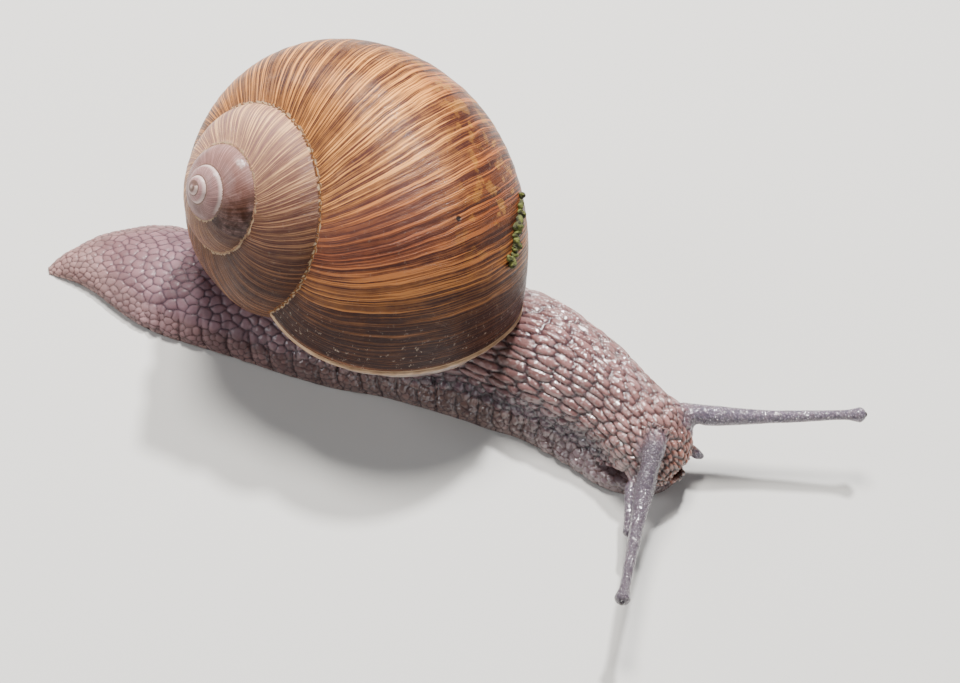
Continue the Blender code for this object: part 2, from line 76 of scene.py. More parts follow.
MM = 0.001
TURN = 2 * math.pi
FLESH = ["tail", "foot_middle", "foot_front", "trunk", "neck", "head", "snout", "mantle_collar"]
FEELERS = ["upper_tentacle_left_base", "upper_tentacle_left_tip", "upper_tentacle_right_base",
           "upper_tentacle_right_tip", "lower_tentacle_left", "lower_tentacle_right"]

# The body's middle line and back, as in the part's own source: (share of the length, heading in degrees from +X or
# height).
TAIL_TIP = (-39.0, -8.6)
BODY_LENGTH = 85.3
HEADINGS = [(0.0, 38), (0.06, 28), (0.12, 14), (0.22, 5), (0.45, 8), (0.6, 7), (0.72, -3), (0.82, -16), (0.9, -26),
            (1.0, -28)]
LINE_STEPS = 240
BACK_HEIGHTS = [(0.0, 1), (0.03, 1.9), (0.08, 3.1), (0.14, 4.2), (0.22, 5.2), (0.34, 5.9), (0.46, 7), (0.58, 8.4),
                (0.64, 9.8), (0.68, 11.1), (0.705, 11.7), (0.75, 12.6), (0.8, 12), (0.88, 11), (0.94, 9.9),
                (0.97, 8.7), (0.99, 7), (1.0, 5.6)]

# The shell, as in the part's own source. Bearings, the rise, the lean, the lip's span and the shoulder's fade are in
# degrees. The outline's sizes are for a suture radius of 1.
SHELL_APEX = np.array((-18.3, -11.1, 28.1))
AXIS_BEARING = -129.9
AXIS_RISE = 28.0
LIP_BEARING = 51.1
SUTURE_RADIUS = 13.83
WHORL_GROWTH = 1.978
SUTURE_DROP = 0.771
OUTLINE_LENGTH = 1.383
OUTLINE_WIDTH = 1.149
OUTLINE_LEAN = 12.4
BASE_LEVEL = -2.6
BASE_DEPTH = 0.6
OLD_TURNS = 4.25  # whorls before the last, down to the apex
APEX_DEPTH = 0.62  # where the apex is closed, as a share of the last radius
ROWS = 360  # rows of the mesh in a turn
LIP_SPAN = (14.0, 176.0)
LIP_LAG = (0.5475, -0.1411, 0.0249)  # how the lip falls back round the outline, by powers of the angle
LIP_FLARE = (0.045, 2.5, 0.45, 0.3)  # share of the size, the angle it is at, its width, its reach back
SHOULDER_FADE = 46.0
BASE_ANGLE = 3.5334  # radians
PIT = (1.0, 1.11, 0.42)  # a pit, darkened with painted shade: turn and angle in radians, radius in millimetres
# Where the moss lies: turns and angles in radians.
MOSS_PATH = ((0.97, 1.86), (0.90, 1.77), (0.78, 1.69), (0.68, 1.71), (0.64, 1.62))
MOSS_LUMPS = 22

# Feelers: root (share of the length, side, height), bearing from the heading, rise, length, radius at the root.
FEELER_AXES = {
    "upper_left": ((0.935, 3.6, 7.6), 51, 3, 22.8, 1.75),
    "upper_right": ((0.967, -3.0, 7.6), -53, 3, 21.9, 1.75),
    "lower_left": ((0.968, 3.4, 4.4), 40, -34, 3.9, 0.95),
    "lower_right": ((0.95, -4.3, 5.0), -45, -4, 9.6, 0.95),
}


# Small helpers

def table(pairs, values):
    """Sizes read from (place, size) pairs by straight lines between them."""
    return np.interp(values, [p[0] for p in pairs], [p[1] for p in pairs])


def smooth(x):
    x = np.clip(x, 0.0, 1.0)
    return x * x * (3 - 2 * x)


def norms(vectors):
    return np.linalg.norm(vectors, axis=1)


def mix(a, b, share):
    return a + (b - a) * share


def ripple(x, seed):
    """Smooth random waves along a line, from -1 to 1."""
    random = np.random.RandomState(seed).rand(1024) * 2 - 1
    low = np.floor(x).astype(int)
    return mix(random[low % 1024], random[(low + 1) % 1024], smooth(x - low))


def patches(x, y, seed):
    """Smooth random patches over a plane, from -1 to 1."""
    random = np.random.RandomState(seed).rand(256, 256) * 2 - 1
    i, j = np.floor(x).astype(int), np.floor(y).astype(int)
    u, v = smooth(x - i), smooth(y - j)
    near = mix(random[i % 256, j % 256], random[(i + 1) % 256, j % 256], u)
    far = mix(random[i % 256, (j + 1) % 256], random[(i + 1) % 256, (j + 1) % 256], u)
    return mix(near, far, v)


def middle_line():
    x, y = TAIL_TIP
    line = []
    for i in range(LINE_STEPS + 1):
        heading = math.radians(table(HEADINGS, i / LINE_STEPS))
        line.append((x, y, heading))
        x += BODY_LENGTH / LINE_STEPS * math.cos(heading)
        y += BODY_LENGTH / LINE_STEPS * math.sin(heading)
    return np.array(line)


MIDDLE_LINE = middle_line()


def body_place(points):
    """Each point's share of the body's length, signed distance from the middle line, and heading there."""
    nearest = np.full(len(points), 1e9)
    index = np.zeros(len(points), int)
    for i, (x, y, _) in enumerate(MIDDLE_LINE):
        distance = (points[:, 0] - x) ** 2 + (points[:, 1] - y) ** 2
        closer = distance < nearest
        nearest[closer] = distance[closer]
        index[closer] = i
    x, y, heading = MIDDLE_LINE[index].T
    ahead = (points[:, 0] - x) * np.cos(heading) + (points[:, 1] - y) * np.sin(heading)
    side = (points[:, 1] - y) * np.cos(heading) - (points[:, 0] - x) * np.sin(heading)
    return index / LINE_STEPS + ahead / BODY_LENGTH, side, heading


def feeler_line(name):
    """The root, the direction and the length of a feeler."""
    (share, side, height), spread, rise, length, _ = FEELER_AXES[name]
    x, y, heading = MIDDLE_LINE[round(share * LINE_STEPS)]
    root = np.array((x - side * math.sin(heading), y + side * math.cos(heading), height))
    bearing, climb = heading + math.radians(spread), math.radians(rise)
    way = np.array((math.cos(climb) * math.cos(bearing), math.cos(climb) * math.sin(bearing), math.sin(climb)))
    return root, way, length


def beside_feeler(points, name):
    """How far points lie along a feeler's axis, and their offsets square to it."""
    root, way, _ = feeler_line(name)
    offset = points - root
    along = offset @ way
    return along, offset - along[:, None] * way


def deselect():
    for item in bpy.context.scene.objects:
        item.select_set(False)


def only(*items):
    """Selects just these objects; the first is the active one."""
    deselect()
    for item in items:
        item.hide_set(False)
        item.select_set(True)
    bpy.context.view_layer.objects.active = items[0]


def linked(name, data):
    """A new object in the scene."""
    item = bpy.data.objects.new(name, data)
    bpy.context.scene.collection.objects.link(item)
    return item


def added(primitive, **settings):
    """Adds a primitive with nothing else selected, and applies its place."""
    deselect()
    primitive(**settings)
    bpy.ops.object.transform_apply(location=True, rotation=True, scale=True)
    return bpy.context.view_layer.objects.active


def joined(*items):
    only(*items)
    bpy.ops.object.join()
    return bpy.context.view_layer.objects.active


def weld(item, threshold):
    """Merges an object's doubles and turns its faces outwards."""
    only(item)
    bpy.ops.object.mode_set(mode="EDIT")
    bpy.ops.mesh.select_all(action="SELECT")
    bpy.ops.mesh.remove_doubles(threshold=threshold)
    bpy.ops.mesh.normals_make_consistent(inside=False)
    bpy.ops.object.mode_set(mode="OBJECT")


def kd_tree(places):
    tree = KDTree(len(places))
    for i, place in enumerate(places):
        tree.insert(place, i)
    tree.balance()
    return tree


def apply_modifier(item, kind, **values):
    only(item)
    modifier = item.modifiers.new(kind.title(), kind)
    for name, value in values.items():
        setattr(modifier, name, value)
    bpy.ops.object.modifier_apply(modifier=modifier.name)


def node_copy(name):
    """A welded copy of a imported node."""
    item = linked(name + "_copy", frame["nodes"][name].data.copy())
    item.data.materials.clear()
    weld(item, 0.01 * MM)
    return item


def coordinates(item):
    values = np.empty(len(item.data.vertices) * 3)
    item.data.vertices.foreach_get("co", values)
    return values.reshape(-1, 3) / MM


def set_coordinates(item, points):
    item.data.vertices.foreach_set("co", (points * MM).ravel())
    item.data.update()


def normals(item):
    values = np.empty(len(item.data.vertices) * 3, np.float32)
    item.data.vertex_normals.foreach_get("vector", values)
    return values.reshape(-1, 3).astype(float)


def add_values(item, name, values, kind="FLOAT", field="value"):
    """Stores one number for each vertex, or one vector."""
    layer = item.data.attributes.new(name, kind, "POINT")
    layer.data.foreach_set(field, np.asarray(values, np.float32).ravel())


def place_piece(item, slot, *nodes):
    """Rides the finished piece on the body and lets it stand for its nodes."""
    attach(item, "root")
    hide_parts(*nodes)


# Shader building

class Nodes:
    """A node tree that is filled from left to right."""

    def __init__(self, tree):
        self.tree = tree

    def add(self, kind, **settings):
        node = self.tree.nodes.new(kind)
        for name, value in settings.items():
            setattr(node, name, value)
        return node

    def put(self, socket, value):
        """Links an output to a socket, or sets the socket's own value."""
        if isinstance(value, bpy.types.NodeSocket):
            self.tree.links.new(value, socket)
        elif isinstance(value, (tuple, list)) and len(value) == 3 and socket.type == "RGBA":
            socket.default_value = (*value, 1)
        else:
            socket.default_value = value

    def fill(self, node, *values, **named):
        """Fills a node's sockets in order, or by name with underscores for spaces."""
        for socket, value in zip(node.inputs, values):
            self.put(socket, value)
        for name, value in named.items():
            self.put(node.inputs[name.replace("_", " ")], value)
        return node

    def math(self, operation, a, b, c=0.0, clamp=False):
        return self.fill(self.add("ShaderNodeMath", operation=operation, use_clamp=clamp), a, b, c).outputs[0]

    def times(self, value, *factors):
        for factor in factors:
            value = self.math("MULTIPLY", value, factor)
        return value

    def part(self, value, start, length):
        """How far a value is along a stretch."""
        return self.math("DIVIDE", self.math("SUBTRACT", value, start), length)

    def span(self, value, low, high, to_low=0.0, to_high=1.0):
        """Maps a range smoothly onto another, clamped."""
        node = self.add("ShaderNodeMapRange", interpolation_type="SMOOTHSTEP")
        return self.fill(node, value, low, high, to_low, to_high).outputs[0]

    def blend(self, share, a, b, kind="MIX"):
        node = self.add("ShaderNodeMix", data_type="RGBA", blend_type=kind)
        for socket, value in zip((0, 6, 7), (share, a, b)):
            self.put(node.inputs[socket], value)
        return node.outputs[2]

    def layers(self, colour, *layers):
        """Lays colours over one, each with its own share."""
        for share, over in layers:
            colour = self.blend(share, colour, over)
        return colour

    def attribute(self, name, output="Fac"):
        return self.add("ShaderNodeAttribute", attribute_name=name).outputs[output]

    def noise(self, vector, scale, detail, roughness=0.5):
        node = self.add("ShaderNodeTexNoise")
        return self.fill(node, Vector=vector, Scale=scale, Detail=detail, Roughness=roughness).outputs["Fac"]

    def cloud(self, vector, scale, detail, low, high, to_low=0.0, to_high=1.0, roughness=0.5):
        """Noise, with a range of it mapped onto another."""
        return self.span(self.noise(vector, scale, detail, roughness), low, high, to_low, to_high)

    def cells(self, vector, scale, feature="F1"):
        node = self.add("ShaderNodeTexVoronoi", feature=feature)
        return self.fill(node, Vector=vector, Scale=scale).outputs["Distance"]

    def scaled(self, vector, scale, shift=(0, 0, 0)):
        return self.fill(self.add("ShaderNodeMapping"), Vector=vector, Location=shift, Scale=scale).outputs[0]

    def ramp(self, value, stops):
        """Colours along a value; each stop is its place and three parts of its colour."""
        node = self.fill(self.add("ShaderNodeValToRGB"), value)
        points = node.color_ramp.elements
        while len(points) < len(stops):
            points.new(0.5)
        for point, (place, *colour) in zip(points, stops):
            point.position = place
            point.color = (*colour, 1)
        return node.outputs[0]

    def bump(self, height, distance, strength=1.0, **normal):
        node = self.add("ShaderNodeBump")
        return self.fill(node, Height=height, Distance=distance, Strength=strength, **normal).outputs[0]

    def tools(self):
        """The methods used most, for short names."""
        return self.span, self.times, self.blend, self.layers, self.ramp, self.cloud

    def grey(self, value):
        return self.fill(self.add("ShaderNodeCombineColor"), value, value, value).outputs[0]

    def shared(self, tree, *values):
        """Adds a node group and returns its output."""
        return self.fill(self.add("ShaderNodeGroup", node_tree=tree), *values).outputs[0]


class Shader(Nodes):
    """A material and its nodes."""

    def __init__(self, name):
        self.material = bpy.data.materials.new(name)
        self.material.use_nodes = True
        super().__init__(self.material.node_tree)
        self.place = self.add("ShaderNodeTexCoord").outputs["Object"]

    def finish(self, **values):
        """Fills the Principled shader's sockets and returns the material."""
        self.fill(self.tree.nodes["Principled BSDF"], **values)
        return self.material


def shared_group(name, output_kind, number, build):
    """A shader group that takes a place and a number, made once; build fills it and returns its result."""
    found = bpy.data.node_groups.get(name)
    if found:
        return found
    tree = bpy.data.node_groups.new(name, "ShaderNodeTree")
    tree.interface.new_socket("Place", in_out="INPUT", socket_type="NodeSocketVector")
    tree.interface.new_socket(number, in_out="INPUT", socket_type="NodeSocketFloat")
    tree.interface.new_socket("Result", in_out="OUTPUT", socket_type=output_kind)
    nodes = Nodes(tree)
    entry, leave = nodes.add("NodeGroupInput"), nodes.add("NodeGroupOutput")
    nodes.put(leave.inputs[0], build(nodes, entry.outputs[0], entry.outputs[1]))
    return tree


def wet_relief():
    """The fine grain that breaks up the gloss of wet flesh, as a normal; the amount scales its depth."""
    def build(nodes, place, amount):
        beads = nodes.span(nodes.cells(place, 2100, "SMOOTH_F1"), 0.65, 0.05)
        grain = nodes.noise(place, 3600, 2)
        return nodes.bump(nodes.times(nodes.math("MULTIPLY_ADD", grain, 0.5, beads), amount), 0.07 * MM)
    return shared_group("wet_relief", "NodeSocketVector", "Amount", build)


def specks():
    """Sparse irregular specks, as a mask."""
    def build(nodes, place, scale):
        return nodes.cloud(place, scale, 4, 0.60, 0.68, roughness=0.7)
    return shared_group("specks", "NodeSocketFloat", "Scale", build)


# Skin

SKIN_GROWTH = 0.2  # how far the flesh nodes are grown, to close the gaps between them
CORNER = 0.1  # rounding of the tubercles' corners
# Feelers' roots: how far they start behind and above the axis, how far they reach, and their width there.
ROOT_CONES = {"upper_left": (1.4, -0.4, 5.4, 1.08), "upper_right": (1.8, 2.8, 5.6, 0.98),
              "lower_left": (2.2, 0.0, 2.8, 1.5), "lower_right": (1.0, 0.0, 2.2, 1.1)}
# Where the feelers' smooth skin begins along them, and how long the change takes.
SMOOTH_STARTS = {"upper_left": (-0.6, 3.2), "upper_right": (-1.9, 3.4), "lower_left": (0.7, 0.9),
                 "lower_right": (0.4, 2.6)}
FEELER_THINNING = [(0.3, 0), (0.6, 0.1), (0.84, 0.26), (0.91, 0.22), (0.965, 0)]  # share of the radius, by length
# How far the tubercles stand out, by share of the body's length.
PLUMPNESS = [(0, 0.06), (0.12, 0.1), (0.3, 0.17), (0.55, 0.3), (0.66, 0.42), (0.9, 0.4), (1, 0.32)]
NEIGHBOURS = 14  # tubercles compared for each point
RIM_HEIGHT = 0.95  # of the groove along the foot's edge
MOUTH_HEIGHT = 4.1
SKIN_TRIANGLES = 195000  # how many the finished skin keeps, where its shape needs them
SOLE_FACES = 0.1  # share of the flat sole's faces that is kept
SEED_SPACING = 0.72  # least squared distance between two tubercles' middles, for a size of 1
SIZE_SPREAD = (0.86, 0.28)  # least share of the usual size, and the random part over it
ROWS_ASIDE = 9  # rows of tubercles on each side of the neck's middle row
ROW_ANGLE = 0.142  # radians between two rows
ROW_GIRTH = 8.0  # radius on which the rows' places are compared


def flesh_shape(voxel):
    """One closed skin around the flesh nodes: joined, grown over their gaps, remeshed and shrunk back."""
    parts = [node_copy(name) for name in FLESH + FEELERS]
    for name, part in zip(FLESH + FEELERS, parts):
        if name in ("head", "snout"):
            narrow_cheek(part)
        if name == "lower_tentacle_left":
            draw_in(part, "lower_left", 0.5)
    skin = joined(*parts, *[feeler_root(name) for name in FEELER_AXES])
    skin.name = "skin"
    set_coordinates(skin, coordinates(skin) + SKIN_GROWTH * normals(skin))
    apply_modifier(skin, "REMESH", mode="VOXEL", voxel_size=voxel, adaptivity=0.0)
    apply_modifier(skin, "SMOOTH", factor=0.5, iterations=10)
    smooth_creases(skin)
    set_coordinates(skin, coordinates(skin) - SKIN_GROWTH * normals(skin))
    apply_modifier(skin, "SMOOTH", factor=0.5, iterations=2)
    thin_sole(skin)
    return skin


def narrow_cheek(part):
    """Draws the far side of the face in a little."""
    points = coordinates(part)
    share, side, heading = body_place(points)
    amount = 1.1 * smooth((share - 0.93) / 0.05) * smooth((side - 0.3) / 3.5) * smooth((points[:, 2] - 1.2) / 2)
    points[:, 0] -= amount * (0.75 * np.cos(heading) - 0.65 * np.sin(heading))
    points[:, 1] -= amount * (0.75 * np.sin(heading) + 0.65 * np.cos(heading))
    set_coordinates(part, points)


def draw_in(part, name, keep):
    """Shortens a feeler beyond the head's surface."""
    points = coordinates(part)
    root, way, _ = feeler_line(name)
    along = np.maximum((points - root) @ way - 0.6, 0)
    set_coordinates(part, points - (1 - keep) * along[:, None] * way)


def thin_sole(skin):
    """Leaves few faces on the flat sole, so that the rest can be finer."""
    mesh = skin.data
    flat = np.array([face.normal.z < -0.99 and face.center.z < 0.1 * MM for face in mesh.polygons])
    only(skin)
    bpy.ops.object.mode_set(mode="EDIT")
    bpy.ops.mesh.select_all(action="DESELECT")
    bpy.ops.object.mode_set(mode="OBJECT")
    mesh.polygons.foreach_set("select", flat)
    bpy.ops.object.mode_set(mode="EDIT")
    bpy.ops.mesh.select_less()
    bpy.ops.mesh.decimate(ratio=SOLE_FACES)
    bpy.ops.mesh.select_all(action="SELECT")
    bpy.ops.mesh.normals_make_consistent(inside=False)
    bpy.ops.object.mode_set(mode="OBJECT")


def smooth_creases(skin):
    """Rounds the hollows where the stalk leaves the back and where a feeler leaves the head."""
    points = coordinates(skin)
    share, _, _ = body_place(points)
    level = points[:, 2] / table(BACK_HEIGHTS, share)
    weight = smooth((level - 0.72) / 0.15) * smooth((share - 0.3) / 0.05) * smooth((0.72 - share) / 0.05)
    for name in FEELER_AXES:
        along, radial = beside_feeler(points, name)
        reach = 5.5 if "upper" in name else 3.4
        near = smooth((4 - norms(radial)) / 1.5)
        weight = np.maximum(weight, smooth((reach - along) / 1.5) * smooth((along + 1) / 1.5) * near)
    group = skin.vertex_groups.new(name="creases")
    for step in range(1, 11):
        chosen = np.flatnonzero((weight > (step - 0.5) / 10) & (weight <= (step + 0.5) / 10))
        group.add(chosen.tolist(), step / 10, "REPLACE")
    apply_modifier(skin, "SMOOTH", factor=0.5, iterations=60, vertex_group="creases")


def feeler_root(name):
    """A tapering root that carries a feeler out of the head, from above its axis or below it."""
    root, way, _ = feeler_line(name)
    wide = FEELER_AXES[name][4] * MM
    back, lift, ahead, thick = ROOT_CONES[name]
    first = root - back * way + np.array((0, 0, lift))
    last = root + ahead * way
    return added(bpy.ops.mesh.primitive_cone_add, vertices=32, radius1=thick * wide, radius2=0.5 * wide,
                 depth=float(np.linalg.norm(last - first)) * MM, location=(first + last) / 2 * MM,
                 rotation=Vector(last - first).to_track_quat("Z", "Y").to_euler())


def feeler_share(points):
    """How far each point belongs to a feeler, and the direction of that feeler."""
    share, ways = np.zeros(len(points)), np.zeros((len(points), 3))
    for name in FEELER_AXES:
        back, lift, ahead, _ = ROOT_CONES[name]
        start, reach = SMOOTH_STARTS[name]
        along, radial = beside_feeler(points, name)
        radial[:, 2] -= lift * np.clip((ahead - along) / (ahead + back), 0, 1)
        own = smooth((along - start) / reach) * smooth((2.7 - norms(radial)) / 0.8)
        ways[own > share] = feeler_line(name)[1]
        share = np.maximum(share, own)
    return share, ways


def slim_feelers(points):
    """Thins the upper feelers before their round tips."""
    for name in ("upper_left", "upper_right"):
        along, radial = beside_feeler(points, name)
        amount = table(FEELER_THINNING, along / FEELER_AXES[name][3])
        amount = amount * smooth((2.2 - norms(radial)) / 0.5)
        points = points - amount[:, None] * radial
    return points


def tubercle_sizes(share, level, height):
    """The length and the width of the skin's tubercles at places on the body."""
    places = (0, 0.06, 0.16, 0.3, 0.5, 0.6, 0.66, 0.72, 0.8, 0.86, 0.91, 0.95, 0.98, 1.0)
    lengths = (0.75, 1.0, 1.3, 1.4, 1.4, 2.8, 4.2, 3.7, 3.0, 2.4, 1.9, 1.5, 1.2, 1.05)
    widths = (0.65, 0.85, 1.08, 1.12, 1.1, 1.2, 1.2, 1.15, 1.1, 1.0, 0.9, 0.75, 0.62, 0.58)
    length, width = np.interp(share, places, lengths), np.interp(share, places, widths)
    low = smooth((0.62 - level) / 0.2) * (share > 0.1)
    length = mix(length, np.minimum(length, 1.25), low)
    width = mix(width, np.minimum(width, 1.0), low)
    margin = smooth((3.0 - height) / 0.6)
    return mix(length, np.minimum(length, 0.85), margin), mix(width, np.minimum(width, 0.75), margin)


def wobble(points, pitch):
    """Smooth random shifts of about one millimetre's swing each way, for bending straight lines."""
    scale = points * pitch
    return np.stack([patches(scale[:, a] + 31 * a, scale[:, b] + scale[:, c] * 0.7 + 17 * a, 60 + a)
                     for a, b, c in ((0, 1, 2), (1, 2, 0), (2, 0, 1))], axis=1)


def tangents(points, normal, heading, feeler, ways):
    """The direction along the body and the one across it, at each point of the skin."""
    ahead = np.stack((np.cos(heading), np.sin(heading), np.zeros(len(points))), axis=1)
    ahead = mix(ahead, ways, feeler[:, None])
    ahead -= normal * np.sum(ahead * normal, axis=1)[:, None]
    size = norms(ahead)
    weak = size < 0.25
    ahead[weak] = np.cross(normal[weak], (0, 1, 0))
    ahead /= np.maximum(norms(ahead), 1e-6)[:, None]
    return ahead, np.cross(normal, ahead)


def row_seeds(points, share, side, length):
    """Places for the tubercles of the neck, in rows that run from the shell to the head."""
    random = np.random.RandomState(17)
    rise = points[:, 2] - 0.4 * table(BACK_HEIGHTS, share)
    around = np.arctan2(side, rise)
    near = np.flatnonzero((share > 0.55) & (share < 0.955) & (np.abs(around) < 2.2))
    tree = kd_tree(np.stack((share[near] * BODY_LENGTH, around[near] * ROW_GIRTH, 0 * near), axis=1))
    seeds = []
    for row in range(-ROWS_ASIDE, ROWS_ASIDE + 1):
        place = 0.57 * BODY_LENGTH + 1.6 * (row % 2) + 0.7 * random.rand()
        while place < 0.945 * BODY_LENGTH:
            angle = (row + 0.16 * random.randn()) * ROW_ANGLE
            _, i, miss = tree.find((place, angle * ROW_GIRTH, 0))
            index = near[i]
            if miss < 0.3:
                seeds.append(index)
            place += length[index] * (0.78 + 0.34 * random.rand())
    return np.unique(seeds)


def scatter_seeds(points, ahead, across, normal, length, width, allowed, rows):
    """Places for the tubercles' middles, each clear of the others by its own size; the rows come first."""
    random = np.random.RandomState(7)
    order = random.permutation(np.flatnonzero(allowed))[:60000]
    seeds = np.empty(6000, int)
    count = len(rows)
    seeds[:count] = rows
    for i in order:
        kept = seeds[:count]
        gap = points[kept] - points[i]
        near = np.abs(gap).sum(axis=1) < 9
        gap = gap[near]
        along = gap @ ahead[i] / length[i]
        beside = gap @ across[i] / width[i]
        deep = gap @ normal[i] / width[i]
        if not np.any(along ** 2 + beside ** 2 + 0.5 * deep ** 2 < SEED_SPACING):
            seeds[count] = i
            count += 1
            if count == len(seeds):
                break
    return seeds[:count]


def tubercles(points, seeds):
    """For each point: its seed, the squared distance from it, and how far the cell's border is, in millimetres."""
    places, ahead, across, normal, length, width = seeds
    tree = kd_tree(places)
    near = np.array([[hit[1] for hit in tree.find_n(point, NEIGHBOURS)] for point in points])
    gap = points[:, None, :] - places[near]
    along, beside, deep = (np.einsum("ijk,ijk->ij", gap, way[near]) / size[near]
                           for way, size in ((ahead, length), (across, width), (normal, width)))
    distance = along ** 2 + beside ** 2 + 0.5 * deep ** 2
    order = np.argsort(distance, axis=1)
    distance, near = np.take_along_axis(distance, order, axis=1), np.take_along_axis(near, order, axis=1)
    own = near[:, 0]
    gap = places[near[:, 1:]] - places[own][:, None, :]
    along, beside = (np.einsum("ijk,ik->ij", gap, way[own]) / size[own][:, None]
                     for way, size in ((ahead, length), (across, width)))
    apart = np.sqrt(along ** 2 + beside ** 2) + 1e-6
    borders = (distance[:, 1:] - distance[:, :1]) / (2 * apart) * width[own][:, None]
    soft = -CORNER * np.log(np.sum(np.exp(-borders / CORNER), axis=1))
    return own, distance[:, 0], np.min(borders, axis=1), soft


def margin_lobes(share, height):
    """The distance from the nearest upright groove of the foot's margin, and how far the margin reaches there."""
    run = share * BODY_LENGTH + 0.35 * (height - 1) + 0.3 * patches(share * 60, height * 0.5, 5)
    steps = np.cumsum(2.1 + 1.2 * np.random.RandomState(11).rand(60))
    nearest = np.min(np.abs(run[:, None] - steps[None, :]), axis=1)
    top = 4.2 + 0.8 * ripple(share * 45, 6)
    return nearest, smooth((top - height) / 1.6)


def dress_skin(skin):
    """Raises the tubercles and the foot's grooves, and stores what the material reads."""
    points, normal = slim_feelers(coordinates(skin)), normals(skin)
    share, side, heading = body_place(points)
    points[:, 2] *= 0.4 + 0.6 * smooth(share / 0.035)
    drawn = side * (1 - np.sqrt(np.clip((share + 0.003) / 0.022, 0.02, 1)))
    points[:, 0] += drawn * np.sin(heading)
    points[:, 1] -= drawn * np.cos(heading)
    height = points[:, 2]
    level = height / table(BACK_HEIGHTS, share)
    feeler, ways = feeler_share(points)
    length, width = tubercle_sizes(share, level, height)
    ahead, across = tangents(points, normal, heading, feeler, ways)
    under = smooth((-normal[:, 2] - 0.6) / 0.3) * (height < 1.0)
    size = SIZE_SPREAD[0] + SIZE_SPREAD[1] * np.random.RandomState(9).rand(len(points))
    length, width = length * size, width * (0.4 + 0.6 * size)
    rows = row_seeds(points, share, side, length)
    seeds = scatter_seeds(points, ahead, across, normal, length, width, (feeler < 0.9) & (under < 0.5), rows)
    bent = points + 0.16 * wobble(points, 0.7) + 0.06 * wobble(points, 2.1)
    own, distance, border, soft = tubercles(
        bent, [values[seeds] for values in (points, ahead, across, normal, length, width)])
    edge = np.clip((soft + 0.05) / (0.4 * width[seeds][own]), 0, 1)
    dome = np.sqrt(1 - (1 - edge) ** 2) * (0.35 + 0.65 * np.sqrt(np.clip(1 - distance / 0.45, 0, 1)))
    plump = table(PLUMPNESS, share)
    plump *= 0.85 + 0.3 * np.random.RandomState(22).rand(len(seeds))[own]
    margin = smooth((3.2 - height) / 0.8)
    front = smooth((share - 0.84) / 0.06)
    plump = mix(plump, 0.09 - 0.05 * front, margin)
    groove = np.exp(-(border / 0.09) ** 2)
    keep = (1 - feeler) * (1 - under)
    sink = keep * (plump * (1 - dome) + mix(0.06, 0.03, margin) * groove)
    nearest, reach = margin_lobes(share, height)
    lobes = reach * (1 - 0.7 * front) * smooth((share - 0.12) / 0.1)
    sink += keep * lobes * (0.38 * np.exp(-nearest / 0.45) + 0.2 * np.exp(-(nearest / 0.16) ** 2))
    rim = np.exp(-((height - RIM_HEIGHT) / 0.14) ** 2) * keep * smooth(1 - normal[:, 2])
    mouth_line = (height - MOUTH_HEIGHT + 0.1 * side ** 2) / 0.2
    mouth = np.exp(-mouth_line ** 2) * smooth((share - 0.975) / 0.012) * smooth((2.4 - np.abs(side)) / 0.6)
    sink += 0.05 * rim + 0.3 * mouth
    sink += keep * 0.1 * (patches(share * 22, side * 0.3, 3) + 0.6)
    set_coordinates(skin, points - normal * sink[:, None])
    line = np.minimum(border, nearest * 0.6 + 0.3 * (1 - lobes))
    values = {"groove": np.minimum(line, np.abs(height - RIM_HEIGHT) * 1.5 + feeler + 0.07),
              "dome": dome * keep + (1 - keep), "cell": np.random.RandomState(21).rand(len(seeds))[own],
              "share": share, "level": level, "height": height, "side": side, "feeler": feeler,
              "belly": feeler * smooth((-normal[:, 2] - 0.1) / 0.45)}
    for name, each in values.items():
        add_values(skin, name, each)
    triangles = len(skin.data.loops) - 2 * len(skin.data.polygons)
    apply_modifier(skin, "DECIMATE", ratio=SKIN_TRIANGLES / triangles)


